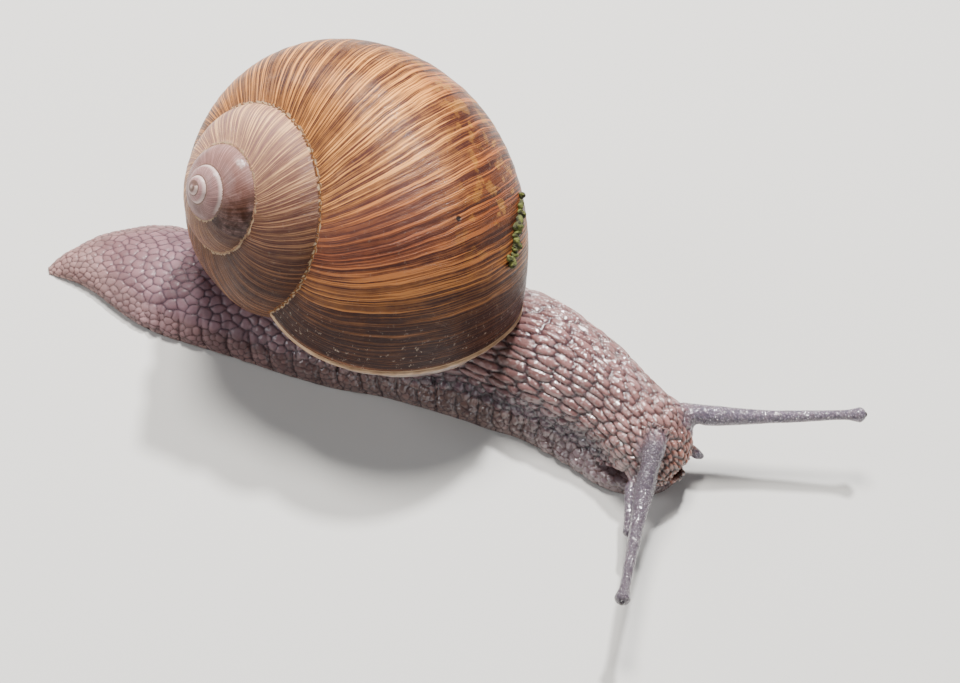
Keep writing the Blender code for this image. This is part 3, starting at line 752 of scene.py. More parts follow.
def skin_material():
    """Dark grooves and paler ridges that change along the body, painted shade over the darker lower neck flanks and the
    flank under the shell, painted light where the shell's shadow falls, grey feelers and a wet film.
    """
    shader = Shader("wet_skin")
    place = shader.place
    span, times, blend, layers, ramp, cloud = shader.tools()
    share, level, height, feeler, dome = map(shader.attribute, ("share", "level", "height", "feeler", "dome"))
    # Painted light: the lifts near shares 0.36 and 0.62 even out the shell's shadow on the body; the rest is the
    # ridges' own colour.
    ridge = ramp(share, (
        (0.0, 0.30, 0.165, 0.15), (0.1, 0.21, 0.11, 0.115), (0.24, 0.19, 0.11, 0.13), (0.36, 0.235, 0.145, 0.16),
        (0.5, 0.20, 0.12, 0.118), (0.62, 0.29, 0.17, 0.165), (0.7, 0.235, 0.114, 0.107), (0.85, 0.22, 0.106, 0.099),
        (0.96, 0.275, 0.138, 0.125), (1.0, 0.26, 0.10, 0.064)))
    # Painted light: the lifts near shares 0.36 and 0.63 even out the shell's shadow in the grooves.
    groove = ramp(share, (
        (0.0, 0.115, 0.058, 0.062), (0.2, 0.058, 0.03, 0.042), (0.36, 0.078, 0.046, 0.058),
        (0.5, 0.06, 0.032, 0.034), (0.63, 0.095, 0.052, 0.058), (0.72, 0.058, 0.026, 0.031),
        (0.9, 0.07, 0.03, 0.03), (1.0, 0.055, 0.022, 0.016)))
    # Painted shadow: the dip near share 0.45 darkens the flank below the shell.
    foot = ramp(share, (
        (0.0, 0.27, 0.155, 0.14), (0.2, 0.22, 0.13, 0.135), (0.45, 0.175, 0.10, 0.088), (0.7, 0.21, 0.13, 0.11),
        (0.84, 0.18, 0.125, 0.135), (1.0, 0.17, 0.12, 0.13)))
    neck = times(span(share, 0.52, 0.6), span(share, 0.96, 0.88))
    # Painted shade, over the skin's own darker purple-grey, on the lower flanks of the neck.
    painted_flank_shade = times(span(level, 0.66, 0.38), neck, span(height, 2.4, 3.6), 0.88)
    margin = span(height, 3.5, 2.5)
    ridge = layers(ridge, (painted_flank_shade, (0.075, 0.042, 0.062)), (margin, foot),
                   (span(height, RIM_HEIGHT, 0.55, 0, 0.45), (0.33, 0.22, 0.19)))
    groove = layers(groove, (painted_flank_shade, (0.022, 0.01, 0.018)), (times(margin, 0.75), (0.085, 0.046, 0.044)))
    tone = span(shader.attribute("cell"), 0, 1, 0.84, 1.14)
    patch = cloud(place, 260, 3, 0.3, 0.7, 0.84, 1.12)
    ridge = blend(1.0, ridge, shader.grey(times(tone, patch)), "MULTIPLY")
    width = span(margin, 0, 1, span(share, 0.4, 0.6, 0.14, 0.19), 0.11)
    depth = times(span(shader.attribute("groove"), 0.02, width), span(dome, 0.2, 0.85, 0.62, 1.0))
    net = span(shader.cells(place, 3400), 0.15, 0.6)
    near_side = span(shader.attribute("side"), -2.6, -4.2)
    on_feelers = layers(
        blend(net, (0.21, 0.165, 0.22), (0.08, 0.062, 0.088)),
        (cloud(place, 1500, 2, 0.45, 0.65, 0.0, 0.5), (0.14, 0.105, 0.125)),
        (times(near_side, 0.75), (0.06, 0.045, 0.058)),
        (times(shader.attribute("belly"), 0.7), (0.22, 0.14, 0.145)))
    colour = blend(feeler, blend(depth, groove, ridge), on_feelers)
    beads = times(shader.math("SUBTRACT", 1.0, net), feeler)
    normal = shader.shared(wet_relief(), place, span(share, 0.3, 0.65, 0.2, 0.45))
    film = shader.shared(wet_relief(), place, span(share, 0.3, 0.65, 0.4, 1.7))
    gloss = times(span(share, 0.25, 0.62, 0.04, 1.0), span(feeler, 0, 1, 1, 0.85))
    return shader.finish(
        Base_Color=colour, Roughness=0.5, Specular_IOR_Level=0.3, IOR=1.4,
        Normal=shader.bump(beads, 0.06 * MM, 0.9, Normal=normal),
        Coat_Normal=shader.bump(beads, 0.15 * MM, Normal=film),
        Coat_Weight=gloss, Coat_Roughness=0.075, Coat_IOR=1.75,
        Subsurface_Weight=0.08, Subsurface_Scale=0.6 * MM, Subsurface_Radius=(1.0, 0.45, 0.35))


# Shell

def shell_axes():
    bearing, rise = math.radians(AXIS_BEARING), math.radians(AXIS_RISE)
    axis = np.array((math.cos(rise) * math.cos(bearing), math.cos(rise) * math.sin(bearing), math.sin(rise)))
    down = np.array((0.0, 0.0, -1.0))
    across = down - axis * (down @ axis)
    across /= np.linalg.norm(across)
    return axis, across, np.cross(axis, across)


SHELL_AXIS, SHELL_DOWN, SHELL_SIDE = shell_axes()
LEAN = math.radians(OUTLINE_LEAN)
LONG = (-math.sin(LEAN), -math.cos(LEAN))
WIDE = (math.cos(LEAN), -math.sin(LEAN))
OUTLINE_CENTRE = (1 + OUTLINE_LENGTH * LONG[0], -SUTURE_DROP + OUTLINE_LENGTH * LONG[1])


def next_suture():
    out = WHORL_GROWTH - OUTLINE_CENTRE[0]
    up = -WHORL_GROWTH * SUTURE_DROP - OUTLINE_CENTRE[1]
    long = (out * LONG[0] + up * LONG[1]) / OUTLINE_LENGTH
    wide = (out * WIDE[0] + up * WIDE[1]) / OUTLINE_WIDTH
    return math.atan2(wide, -long), math.hypot(long, wide)


SHOULDER, SHOULDER_SIZE = next_suture()


def outline(turn, angle):
    """The whorl's outline, as radius and height for a suture radius of 1."""
    fade = smooth(1 - (TURN - turn) / math.radians(SHOULDER_FADE))
    reach = np.where(angle < SHOULDER, SHOULDER, math.radians(75))
    off = np.minimum(np.abs(angle - SHOULDER) / reach, 1)
    size = 1 + (SHOULDER_SIZE - 1) * fade * np.cos(off * math.pi / 2) ** 2
    flare, flare_angle, flare_width, flare_back = LIP_FLARE
    size = size + flare * np.exp(-((angle - flare_angle) / flare_width) ** 2 - (turn / flare_back) ** 2)
    long = -OUTLINE_LENGTH * np.cos(angle) * size
    wide = OUTLINE_WIDTH * np.sin(angle) * size
    radius = OUTLINE_CENTRE[0] + long * LONG[0] + wide * WIDE[0]
    height = OUTLINE_CENTRE[1] + long * LONG[1] + wide * WIDE[1]
    flat = BASE_LEVEL - BASE_DEPTH * np.tanh((BASE_LEVEL - height) / BASE_DEPTH)
    return radius, np.where(height < BASE_LEVEL, flat, height)


def slant(angle):
    return LIP_LAG[0] * angle + LIP_LAG[1] * angle ** 2 + LIP_LAG[2] * angle ** 3


def shell_point(turn, angle, inward=0.0):
    """Points on the shell, inward millimetres inside its surface; arrays of turns and angles."""
    late = np.clip(1 - turn / TURN, 0, 1) ** 2
    back = turn + slant(angle) * late
    radius, height = outline(turn, angle)
    size = SUTURE_RADIUS * WHORL_GROWTH ** (-back / TURN)
    keep = 1 - inward / (size * np.hypot(radius - OUTLINE_CENTRE[0], height - OUTLINE_CENTRE[1]))
    radius = OUTLINE_CENTRE[0] + (radius - OUTLINE_CENTRE[0]) * keep
    height = OUTLINE_CENTRE[1] + (height - OUTLINE_CENTRE[1]) * keep
    bearing = math.radians(LIP_BEARING) + back
    out = np.cos(bearing)[..., None] * SHELL_DOWN + np.sin(bearing)[..., None] * SHELL_SIDE
    return SHELL_APEX + size[..., None] * (height[..., None] * SHELL_AXIS + radius[..., None] * out)


def growth_place(turn, angle):
    """How far back from the lip, in radians, a place on the shell was grown."""
    late = np.clip(1 - turn / TURN, 0, 1) ** 2
    return turn + slant(angle) * (late - 1)


def shell_relief(turn, angle):
    """The height of the shell's growth ridges and beaded suture over its smooth surface, in millimetres."""
    growth = growth_place(turn, angle)
    size = SUTURE_RADIUS * WHORL_GROWTH ** (-turn / TURN)
    drift = 0.5 * patches(growth * 3, angle * 2.5, 31)
    ridges = 0.5 * ripple(growth * 16 + drift, 1) + 0.35 * ripple(growth * 34 + drift, 2)
    ridges += 0.25 * ripple(growth * 75 + drift, 3)
    old = smooth((13.5 - turn) / 2.0)
    relief = 0.07 * (size / SUTURE_RADIUS) ** 0.7 * ridges * (0.15 + 0.85 * old)
    from_suture = angle * OUTLINE_WIDTH * size
    to_suture = np.where(turn >= TURN, (SHOULDER - angle) * OUTLINE_WIDTH * size, 9)
    relief *= smooth(from_suture / 0.8) * smooth(to_suture / 0.5)
    beads = 0.1 * np.exp(-((from_suture - 0.2) / 0.14) ** 2) * (1 + 0.8 * ripple(growth * 60, 5)) * old
    beads *= smooth(from_suture / 0.1)
    return relief + beads * (size / SUTURE_RADIUS) ** 0.5


def fan(loop, centre):
    return [(a, b, centre) for a, b in zip(loop, loop[1:] + loop[:1])]


def make_grid_object(name, points, faces):
    mesh = bpy.data.meshes.new(name)
    mesh.from_pydata([tuple(point * MM) for point in points], [], faces)
    item = linked(name, mesh)
    weld(item, 0.002 * MM)
    bpy.ops.object.shade_smooth()
    return item


class Grids:
    """Points, growth places and faces of the shell's mesh, gathered grid by grid."""

    def __init__(self):
        self.points, self.growths, self.faces, self.count = [], [], [], 0

    def keep(self, points, growths):
        """Keeps points and returns the first one's index."""
        self.points.append(points)
        self.growths.append(growths)
        self.count += len(points)
        return self.count - len(points)

    def add(self, turns, angles, depths=0.0):
        """Adds a grid of points at depths inside the surface; returns its first index and its points."""
        turn, angle = np.meshgrid(turns, angles, indexing="ij")
        depth = np.broadcast_to(depths, turn.shape)
        points = shell_point(turn, angle, depth - shell_relief(turn, angle) * (depth == 0))
        rows, columns = turn.shape
        i, j = np.meshgrid(np.arange(rows - 1), np.arange(columns - 1), indexing="ij")
        a = (self.count + i * columns + j).ravel()
        self.faces += np.stack((a, a + 1, a + columns + 1, a + columns), axis=1).tolist()
        return self.keep(points.reshape(-1, 3), growth_values(turn, angle)), points


def build_shell():
    """The shell's whorls from the lip to the apex, closed behind the lip and at the apex."""
    grids = Grids()
    upper = SHOULDER * np.linspace(0, 1, 34) ** 1.2
    whole = np.concatenate((upper, np.linspace(SHOULDER, BASE_ANGLE, 50)[1:]))
    short, columns, rows = len(upper), len(whole), ROWS + 1
    grids.add(np.arange(rows) * TURN / ROWS, whole)
    grids.add((ROWS + np.arange(round(OLD_TURNS * ROWS) + 1)) * TURN / ROWS, upper)
    # The wall inside the lip, and a hidden face behind it.
    start, wall = grids.add((0.0, 0.02, 0.12, 0.3), whole, np.array([0.0, 0.25, 0.6, 0.9])[:, None])
    middle = grids.keep(wall[-1].mean(axis=0)[None], np.zeros((1, 3)))
    edge = [start + row * columns for row in range(4)]
    edge += [start + 3 * columns + i for i in range(1, columns)]
    edge += [start + row * columns + columns - 1 for row in (2, 1, 0)]
    edge += [row * columns + columns - 1 for row in range(1, rows)]
    edge += [(rows - 1) * columns + i for i in range(columns - 2, short - 2, -1)]
    # The apex is closed on the axis, a little below its last turn.
    tip_size, tip_turn = SUTURE_RADIUS * WHORL_GROWTH ** -(1 + OLD_TURNS), TURN * (1 + OLD_TURNS)
    apex = grids.keep((SHELL_APEX - APEX_DEPTH * tip_size * SHELL_AXIS)[None], np.array([[tip_turn, 0.5, tip_turn]]))
    tip = [start + (row - rows) * short for row in range(rows)]
    tip += [start - short + i for i in range(1, short)]
    places, growths = np.concatenate(grids.points), np.concatenate(grids.growths)
    shell = make_grid_object("shell", places, grids.faces + fan(edge, middle) + fan(tip, apex))
    attach_growth(shell, places, growths)
    return shell


def growth_values(turn, angle):
    return np.stack((growth_place(turn, angle), angle, turn), axis=-1).reshape(-1, 3)


def attach_growth(shell, places, growths):
    """Gives each vertex the growth place of the grid point it came from."""
    tree = kd_tree(places)
    values = growths[[tree.find(point)[1] for point in coordinates(shell)]]
    growth, angle, turn = values.T
    size = SUTURE_RADIUS * WHORL_GROWTH ** (-turn / TURN)
    add_values(shell, "growth", values, "FLOAT_VECTOR", "vector")
    add_values(shell, "from_suture", angle * OUTLINE_WIDTH * size)
    add_values(shell, "to_suture", np.where(turn >= TURN, (SHOULDER - angle) * OUTLINE_WIDTH * size, 9))
    add_values(shell, "from_lip", np.where(turn < 2, growth * size * 1.6, 99))


def shell_material():
    """Stripes that follow the growth lines; age is the growth place and across runs from suture to base."""
    shader = Shader("striped_shell")
    place = shader.place
    span, times, blend, layers, ramp, cloud = shader.tools()
    split = shader.fill(shader.add("ShaderNodeSeparateXYZ"), shader.attribute("growth", "Vector"))
    age, across = split.outputs[:2]
    lines, fine = stripes(shader, age, across)
    # The last whorl.
    outer = shader.part(age, 0.0, 6.3)
    # Partly painted light and shade: these colours are raised in the middle of the last whorl and lowered towards its
    # older, upper part, to even out how the lamps fall.
    dark = ramp(outer, (
        (0.0, 0.028, 0.01, 0.009), (0.04, 0.03, 0.01, 0.008), (0.08, 0.042, 0.012, 0.008), (0.13, 0.06, 0.018, 0.012),
        (0.17, 0.11, 0.042, 0.032), (0.21, 0.10, 0.038, 0.029), (0.3, 0.058, 0.021, 0.016), (0.5, 0.052, 0.018, 0.013),
        (0.7, 0.05, 0.018, 0.013), (0.8, 0.05, 0.02, 0.016), (1.0, 0.04, 0.016, 0.013)))
    light = ramp(outer, (
        (0.0, 0.18, 0.075, 0.04), (0.05, 0.28, 0.115, 0.045), (0.08, 0.46, 0.18, 0.05), (0.13, 0.50, 0.17, 0.055),
        (0.16, 0.95, 0.37, 0.10), (0.2, 1.0, 0.43, 0.115), (0.24, 0.98, 0.41, 0.105), (0.31, 0.82, 0.33, 0.078),
        (0.5, 0.72, 0.28, 0.066), (0.7, 0.52, 0.21, 0.06), (0.8, 0.34, 0.15, 0.06), (1.0, 0.22, 0.10, 0.055)))
    red = times(span(age, 0.62, 0.85), span(age, 1.4, 1.0), span(across, 1.25, 0.7), 0.75)
    light = blend(red, light, (0.30, 0.075, 0.035))
    # The whorl before it.
    inner = shader.part(age, 5.0, 9.0)
    inner_dark = ramp(inner, (
        (0.0, 0.04, 0.016, 0.013), (0.14, 0.026, 0.007, 0.005), (0.24, 0.085, 0.032, 0.025),
        (0.35, 0.25, 0.125, 0.11), (0.6, 0.26, 0.13, 0.11), (0.85, 0.05, 0.02, 0.016)))
    inner_light = ramp(inner, (
        (0.0, 0.22, 0.10, 0.055), (0.14, 0.17, 0.066, 0.03), (0.24, 0.36, 0.18, 0.09), (0.35, 0.98, 0.56, 0.27),
        (0.6, 0.94, 0.52, 0.25), (0.85, 0.15, 0.075, 0.05)))
    older = span(age, 6.0, 6.35)
    colour = blend(lines, blend(older, dark, inner_dark), blend(older, light, inner_light))
    # Painted shade on the side below the widest part, and the mottles there.
    side = times(span(across, 0.9, 1.5), span(age, 0.35, 0.9), span(age, 3.6, 2.4))
    colour = blend(side, colour, (0.46, 0.33, 0.29), "MULTIPLY")
    mottle = times(cloud(place, 560, 3, 0.54, 0.62), side, span(lines, 0.1, 0.5, 0.25, 0.75))
    colour = blend(mottle, colour, (0.46, 0.20, 0.035))
    # The first whorls, worn and smooth, with pale patches of painted sheen.
    early = ramp(shader.part(age, 12.0, 21.0), (
        (0.0, 0.04, 0.016, 0.012), (0.035, 0.03, 0.01, 0.007), (0.06, 0.07, 0.03, 0.02), (0.09, 0.21, 0.105, 0.088),
        (0.14, 0.32, 0.17, 0.148), (0.3, 0.19, 0.10, 0.092), (0.42, 0.29, 0.16, 0.15), (0.75, 0.42, 0.23, 0.225),
        (0.92, 0.36, 0.20, 0.19), (1.0, 0.12, 0.05, 0.04)))
    # Painted sheen: pale patches over the early colour.
    early = blend(cloud(place, 420, 5, 0.4, 0.7, 0, 0.45, 0.65), early, (0.38, 0.235, 0.22))
    early = blend(1.0, early, shader.grey(shader.math("MULTIPLY_ADD", lines, 0.7, 0.66)), "MULTIPLY")
    seam = times(span(shader.attribute("from_suture"), 0.2, 0.06), 0.8)
    pale = times(span(shader.attribute("to_suture"), 0.5, 0.1), span(age, 18.6, 19.2, 0, 0.75))
    early = layers(early, (seam, (0.06, 0.03, 0.03)), (pale, (0.66, 0.52, 0.48)))
    # The suture, the edge beside the lip, its scuffs, and the pit's painted shade.
    scuff = times(shader.shared(specks(), place, 1900), span(age, 0.42, 0.1, 0.1, 0.75))
    # The pit's dark spot is painted shade; its dent is only a bump.
    gap = shader.add("ShaderNodeVectorMath", operation="DISTANCE")
    shader.fill(gap, place, tuple(shell_point(*np.array(PIT[:2])) * MM))
    pit = span(gap.outputs["Value"], PIT[2] * MM, 0.5 * PIT[2] * MM)
    colour = layers(
        colour, (span(age, 12.55, 12.65), early), (suture_share(shader, age), (0.52, 0.36, 0.21)),
        (span(shader.attribute("from_lip"), 0.74, 0.6), (0.46, 0.30, 0.18)), (scuff, (0.42, 0.33, 0.26)),
        (pit, (0.02, 0.012, 0.01)))
    height = times(shader.math("MULTIPLY_ADD", fine, 0.5, lines), span(age, 12.7, 12.4))
    normal = shader.bump(shader.math("SUBTRACT", height, times(pit, 3.0)), 0.05 * MM, 0.7)
    glaze = shader.bump(shader.noise(place, 2300, 3, 0.6), 0.05 * MM, 0.9, Normal=normal)
    return shader.finish(Base_Color=colour, Roughness=cloud(place, 700, 3, 0.3, 0.7, 0.36, 0.5), Normal=normal,
                         Coat_Normal=glaze, Specular_IOR_Level=0.08, Coat_Weight=0.22, Coat_Roughness=0.14)


def stripes(shader, age, across):
    """The share of the light colour, and the finest lines alone."""
    span, times, _, _, ramp, cloud = shader.tools()
    wander = cloud(shader.place, 160, 2, 0.2, 0.8, -0.008, 0.008)
    flow = shader.fill(shader.add("ShaderNodeCombineXYZ"), shader.math("ADD", age, wander), across)
    broad, second, finest = (
        shader.noise(shader.scaled(flow.outputs[0], (*pitch, 0), (*shift, 0)), 1.0, detail, roughness)
        for pitch, shift, detail, roughness in (((38, 0.4), (7, 3), 1, 0.5), ((104, 1.0), (2, 9), 2, 0.5),
                                                ((230, 3.0), (4, 1), 2, 0.6)))
    bias = ramp(shader.part(age, 0.0, 6.3), [(spot, amount, amount, amount) for spot, amount in (
        (0.0, 0.15), (0.045, 0.13), (0.07, 0.05), (0.085, 0.0), (0.12, 0.045), (0.2, 0.02), (0.3, 0.02), (1.0, 0.025))])
    band = span(shader.math("SUBTRACT", broad, bias), 0.462, 0.55)
    second = span(shader.math("MULTIPLY_ADD", bias, -0.35, second), 0.45, 0.54)
    fine = span(finest, 0.36, 0.64)
    lit = times(band, shader.math("MULTIPLY_ADD", second, 0.82, 0.3))
    shade = times(shader.math("SUBTRACT", 1.0, band), times(second, 0.27))
    grain = shader.math("MULTIPLY_ADD", band, 0.26, 0.12)
    share = shader.math("MULTIPLY_ADD", shader.math("SUBTRACT", fine, 0.5), grain, shader.math("ADD", lit, shade))
    wear = cloud(shader.place, 480, 4, 0.3, 0.7, -0.08, 0.08, 0.65)
    return shader.math("ADD", share, wear, clamp=True), fine


def suture_share(shader, age):
    """How far a place on the shell belongs to the pale, beaded suture."""
    near = shader.math("MINIMUM", shader.attribute("from_suture"),
                       shader.math("ADD", shader.attribute("to_suture"), 0.08))
    near = shader.math("ADD", near, shader.cloud(shader.place, 1500, 3, 0.3, 0.7, -0.14, 0.14))
    return shader.times(shader.span(near, 0.27, 0.13), shader.span(age, 13.0, 12.45, 0.1, 0.85))


def build_moss():
    """A crumb of moss that sticks to the shell's far side, as a row of small lumps."""
    random = np.random.RandomState(14)
    run = np.linspace(0, 1, MOSS_LUMPS)
    turns, angles = (np.interp(run, np.linspace(0, 1, len(MOSS_PATH)), values) for values in zip(*MOSS_PATH))
    lumps = []
    for turn, angle in zip(turns + 0.02 * random.randn(MOSS_LUMPS), angles + 0.012 * random.randn(MOSS_LUMPS)):
        radius = 0.3 + 0.28 * random.rand()
        place = shell_point(np.array(turn), np.array(angle), np.array(-0.25 * radius))
        lumps.append(added(bpy.ops.mesh.primitive_ico_sphere_add, subdivisions=3, radius=radius * MM,
                           location=place * MM, rotation=tuple(random.rand(3) * TURN), scale=(1, 1.5, 0.8)))
    moss = joined(*lumps)
    set_coordinates(moss, coordinates(moss) + 0.09 * wobble(coordinates(moss), 4.1))
    bpy.ops.object.shade_smooth()
    return moss


def moss_material():
    shader = Shader("moss")
    colour = shader.blend(shader.cloud(shader.place, 1500, 3, 0.4, 0.6), (0.025, 0.024, 0.008), (0.11, 0.12, 0.022))
    return shader.finish(Base_Color=colour, Roughness=0.85,
                         Normal=shader.bump(shader.cells(shader.place, 4200), 0.12 * MM, 0.9))


# Lip, mantle and eyes

LIP_RADIUS = 0.44
MANTLE_RADIUS = 1.25
EYE_RADIUS = 0.36
EYE_INSET = 0.14  # how far an eye's middle lies behind the middle of its node


def build_lip():
    """The rounded edge of the shell, as a bead along the lip."""
    angles = np.radians(np.linspace(*LIP_SPAN, 240))
    around = np.linspace(0, TURN, 17)[:-1]
    angle, ring = np.meshgrid(angles, around, indexing="ij")
    thick = LIP_RADIUS * np.sqrt(np.clip(np.sin((angle - angles[0]) / (angles[-1] - angles[0]) * math.pi) * 6, 0.03, 1))
    radius = np.maximum(outline(np.zeros_like(angle), angle)[0], 0.5)
    back = (0.36 - 0.42 * np.cos(ring)) / (SUTURE_RADIUS * radius)
    inward = 0.26 - thick * np.sin(ring) * (1 + 0.08 * ripple(angle * 30, 8))
    places = shell_point(back, angle, inward)
    rows, columns = angle.shape
    i, j = np.meshgrid(np.arange(rows - 1), np.arange(columns), indexing="ij")
    a, b = (i * columns + j).ravel(), (i * columns + (j + 1) % columns).ravel()
    faces = [tuple(face) for face in np.stack((a, b, b + columns, a + columns), axis=1)]
    faces += [tuple(range(columns)), tuple(range((rows - 1) * columns, rows * columns))]
    return make_grid_object("shell_rim", places.reshape(-1, 3), faces)


def lip_material():
    shader = Shader("cream_lip")
    place = shader.place
    streak = shader.cloud(shader.scaled(place, (900, 900, 5200)), 1.0, 2, 0.45, 0.6)
    colour = shader.blend(shader.cloud(place, 600, 3, 0.3, 0.7), (0.36, 0.205, 0.105), (0.55, 0.36, 0.21))
    colour = shader.blend(shader.times(streak, 0.35), colour, (0.24, 0.14, 0.085))
    normal = shader.bump(shader.noise(place, 2400, 3), 0.04 * MM, 0.6)
    return shader.finish(Base_Color=colour, Roughness=0.42, Normal=normal, Coat_Weight=0.15, Coat_Roughness=0.2)


def build_mantle():
    """The mantle's swollen edge, lying inside the aperture."""
    edge = [shell_point(np.zeros(1), np.radians([angle]))[0] for angle in np.linspace(25, 235, 40)]
    first, last = edge[0], edge[-1]
    edge += [mix(last, first, part / 12) for part in range(1, 12)]
    centre = np.mean(edge, axis=0)
    curve = bpy.data.curves.new("mantle_edge", "CURVE")
    curve.dimensions = "3D"
    curve.bevel_depth = MANTLE_RADIUS * MM
    curve.bevel_resolution = 8
    curve.resolution_u = 4
    spline = curve.splines.new("NURBS")
    spline.points.add(len(edge) - 1)
    for point, place in zip(spline.points, edge):
        inside = centre + (place - centre) * 0.84 - np.array((0, 0, 1.0))
        point.co = (*(inside * MM), 1)
    spline.use_cyclic_u = True
    spline.order_u = 4
    only(linked("mantle_edge", curve))
    bpy.ops.object.convert(target="MESH")
    item = bpy.context.view_layer.objects.active
    points, normal = coordinates(item), normals(item)
    folds = 0.12 * ripple(np.arctan2(points[:, 1] - centre[1], points[:, 0] - centre[0]) * 9, 12)
    set_coordinates(item, points + normal * folds[:, None])
    return item


def mantle_material():
    shader = Shader("mantle_flesh")
    place = shader.place
    colour = shader.blend(shader.cloud(place, 500, 4, 0.35, 0.65), (0.30, 0.22, 0.19), (0.44, 0.34, 0.27))
    dots = shader.span(shader.cells(place, 1500), 0.25, 0.12)
    colour = shader.blend(shader.times(dots, 0.5), colour, (0.17, 0.12, 0.12))
    return shader.finish(Base_Color=colour, Roughness=0.3, Normal=shader.shared(wet_relief(), place, 0.6),
                         Coat_Weight=0.7, Coat_Roughness=0.1, Subsurface_Weight=0.15, Subsurface_Scale=1.0 * MM,
                         Subsurface_Radius=(1.0, 0.5, 0.35))


def build_eye(word):
    """One eye: a small dark bead in the tip of its feeler."""
    way = Vector(feeler_line("upper_" + word)[1])
    low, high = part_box("eye_" + word)
    item = added(bpy.ops.mesh.primitive_uv_sphere_add, segments=32, ring_count=20, radius=EYE_RADIUS * MM,
                 location=(low + high) / 2 - way * EYE_INSET * MM, scale=(1, 1, 0.8),
                 rotation=way.to_track_quat("Z", "Y").to_euler())
    item.name = "eye_bead_" + word
    bpy.ops.object.shade_smooth()
    return item


def eye_material():
    shader = Shader("dark_eye")
    colour = shader.blend(shader.cloud(shader.place, 5000, 2, 0.4, 0.6), (0.012, 0.01, 0.012), (0.035, 0.025, 0.03))
    return shader.finish(Base_Color=colour, Roughness=0.16, Coat_Weight=1.0, Coat_Roughness=0.05)


# Stage: places and sizes in metres, angles in degrees

FLOOR_SIZE = 6.0
LIGHT_TARGET = Vector((0.0, 0.0, 0.01))
LIGHTS = {  # place, size of the disk, share of the main light's power, colour
    "key_light": ((-0.14, 0.14, 0.57), 0.17, 0.64, (1.0, 0.97, 0.93)),
    "glint_light": ((-0.05, 0.28, 0.53), 0.05, 0.72, (1.0, 0.99, 0.98)),
    "side_light": ((-0.45, -0.25, 0.35), 0.3, 0.16, (0.95, 0.97, 1.0)),
    "fill_light": ((0.45, -0.30, 0.30), 0.5, 0.1, (0.93, 0.96, 1.0)),
}
CAMERA_TARGET = (15.1, -0.5, 7.7)  # in millimetres, as is the distance
CAMERA_DISTANCE = 270.0
CAMERA_AZIMUTH = 14.0
CAMERA_ELEVATION = 50.0
CAMERA_ROLL = 10.0
CAMERA_LENS = 85


# Operators

class SnailSettings(bpy.types.PropertyGroup):
    skin_grain: bpy.props.FloatProperty(name="Skin grain", description="Edge length of the skin's mesh",
                                        default=0.000165, unit="LENGTH")
    floor_colour: bpy.props.FloatVectorProperty(name="Floor", description="Colour of the studio floor",
                                                default=(0.62, 0.61, 0.585), subtype="COLOR")
    room_light: bpy.props.FloatProperty(name="Room light", description="Strength of the even light from all sides",
                                        default=0.1)
    key_power: bpy.props.FloatProperty(name="Key light", description="Power of the main light", default=9.0,
                                       unit="POWER")


class SNAIL_OT_skin(bpy.types.Operator):
    """Models the snail's skin: foot, body, head and feelers in one piece"""

    bl_idname = "snail.skin"
    bl_label = "Skin"

    def execute(self, context):
        skin = flesh_shape(context.scene.snail.skin_grain)
        dress_skin(skin)
        only(skin)
        bpy.ops.object.shade_smooth()
        skin.data.materials.append(skin_material())
        place_piece(skin, "skin", *FLESH, *FEELERS)
        return {"FINISHED"}


class SNAIL_OT_shell(bpy.types.Operator):
    """Models the shell's whorls with their growth ridges"""

    bl_idname = "snail.shell"
    bl_label = "Shell"

    def execute(self, context):
        shell = build_shell()
        shell.data.materials.append(shell_material())
        moss = build_moss()
        moss.data.materials.append(moss_material())
        only(shell, moss)
        bpy.ops.object.join()
        place_piece(shell, "shell", "shell_apex", "shell_spire", "shell_body_whorl")
        return {"FINISHED"}


class SNAIL_OT_rim(bpy.types.Operator):
    """Models the shell's cream edge and the mantle inside it"""

    bl_idname = "snail.rim"
    bl_label = "Lip and mantle"

    def execute(self, context):
        lip = build_lip()
        lip.data.materials.append(lip_material())
        place_piece(lip, "shell_lip", "shell_lip")
        mantle = build_mantle()
        mantle.data.materials.append(mantle_material())
        place_piece(mantle, "mantle", "mantle_collar")
        return {"FINISHED"}


class SNAIL_OT_eyes(bpy.types.Operator):
    """Models both eyes"""

    bl_idname = "snail.eyes"
    bl_label = "Eyes"

    def execute(self, context):
        material = eye_material()
        for word in ("left", "right"):
            eye = build_eye(word)
            eye.data.materials.append(material)
            place_piece(eye, "eye", "eye_" + word)
        return {"FINISHED"}


class SNAIL_OT_stage(bpy.types.Operator):
    """Adds the pale floor, the soft lights and the camera"""

    bl_idname = "snail.stage"
    bl_label = "Stage"

    def execute(self, context):
        settings = context.scene.snail
        deselect()
        bpy.ops.mesh.primitive_plane_add(size=FLOOR_SIZE, location=(0, 0, 0))
        floor = context.view_layer.objects.active
        floor.name = "studio_floor"
        shader = Shader("studio_floor")
        floor.data.materials.append(shader.finish(Base_Color=tuple(settings.floor_colour), Roughness=0.8))
        for name, (place, size, share, colour) in LIGHTS.items():
            add_light(name, place, size, share * settings.key_power, colour)
        world = bpy.data.worlds.new("studio")
        world.use_nodes = True
        room = world.node_tree.nodes["Background"]
        Nodes(world.node_tree).fill(room, Color=(0.9, 0.93, 1.0), Strength=settings.room_light)
        context.scene.world = world
        add_camera()
        return {"FINISHED"}


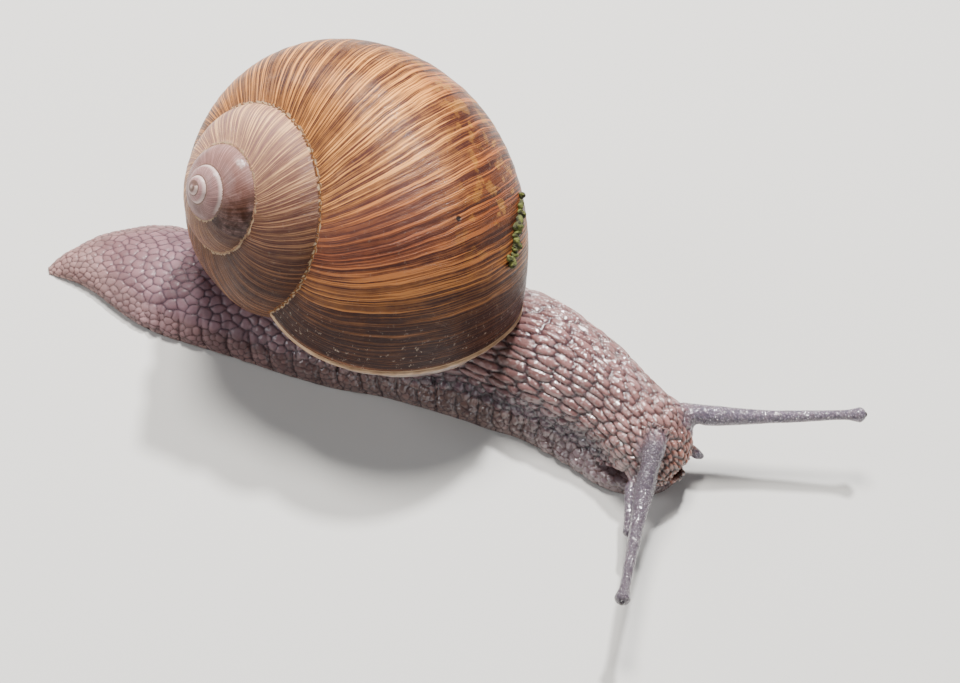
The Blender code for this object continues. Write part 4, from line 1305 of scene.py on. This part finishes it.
def add_light(name, place, size, power, colour):
    light = bpy.data.lights.new(name, "AREA")
    light.shape = "DISK"
    light.size = size
    light.energy = power
    light.color = colour
    item = linked(name, light)
    item.location = place
    item.rotation_euler = (LIGHT_TARGET - Vector(place)).to_track_quat("-Z", "Y").to_euler()


def add_camera():
    camera = bpy.data.cameras.new("camera")
    camera.lens = CAMERA_LENS
    camera.sensor_width = 36
    camera.clip_start = 0.01
    azimuth, elevation = math.radians(CAMERA_AZIMUTH), math.radians(CAMERA_ELEVATION)
    back = Vector((math.sin(azimuth) * math.cos(elevation), -math.cos(azimuth) * math.cos(elevation),
                   math.sin(elevation)))
    turn = back.to_track_quat("Z", "Y").to_matrix().to_4x4()
    place = (Vector(CAMERA_TARGET) + back * CAMERA_DISTANCE) * MM
    item = linked("camera", camera)
    item.matrix_world = Matrix.Translation(place) @ turn @ Matrix.Rotation(math.radians(CAMERA_ROLL), 4, "Z")
    bpy.context.scene.camera = item


class SNAIL_PT_panel(bpy.types.Panel):
    """Lists the snail's settings and pieces"""

    bl_idname = "SNAIL_PT_panel"
    bl_label = "Roman Snail"
    bl_space_type = "VIEW_3D"
    bl_region_type = "UI"
    bl_category = "Snail"

    def draw(self, context):
        for name in ("skin_grain", "floor_colour", "room_light", "key_power"):
            self.layout.prop(context.scene.snail, name)
        for operator in OPERATORS:
            self.layout.operator(operator.bl_idname)


OPERATORS = (SNAIL_OT_skin, SNAIL_OT_shell, SNAIL_OT_rim, SNAIL_OT_eyes, SNAIL_OT_stage)
CLASSES = (SnailSettings, *OPERATORS, SNAIL_PT_panel)


def register():
    for item in CLASSES:
        bpy.utils.register_class(item)
    bpy.types.Scene.snail = bpy.props.PointerProperty(type=SnailSettings)


def unregister():
    del bpy.types.Scene.snail
    for item in reversed(CLASSES):
        bpy.utils.unregister_class(item)


def main():
    register()
    bpy.ops.snail.skin()
    bpy.ops.snail.shell()
    bpy.ops.snail.rim()
    bpy.ops.snail.eyes()
    bpy.ops.snail.stage()


if __name__ == "__main__":
    main()
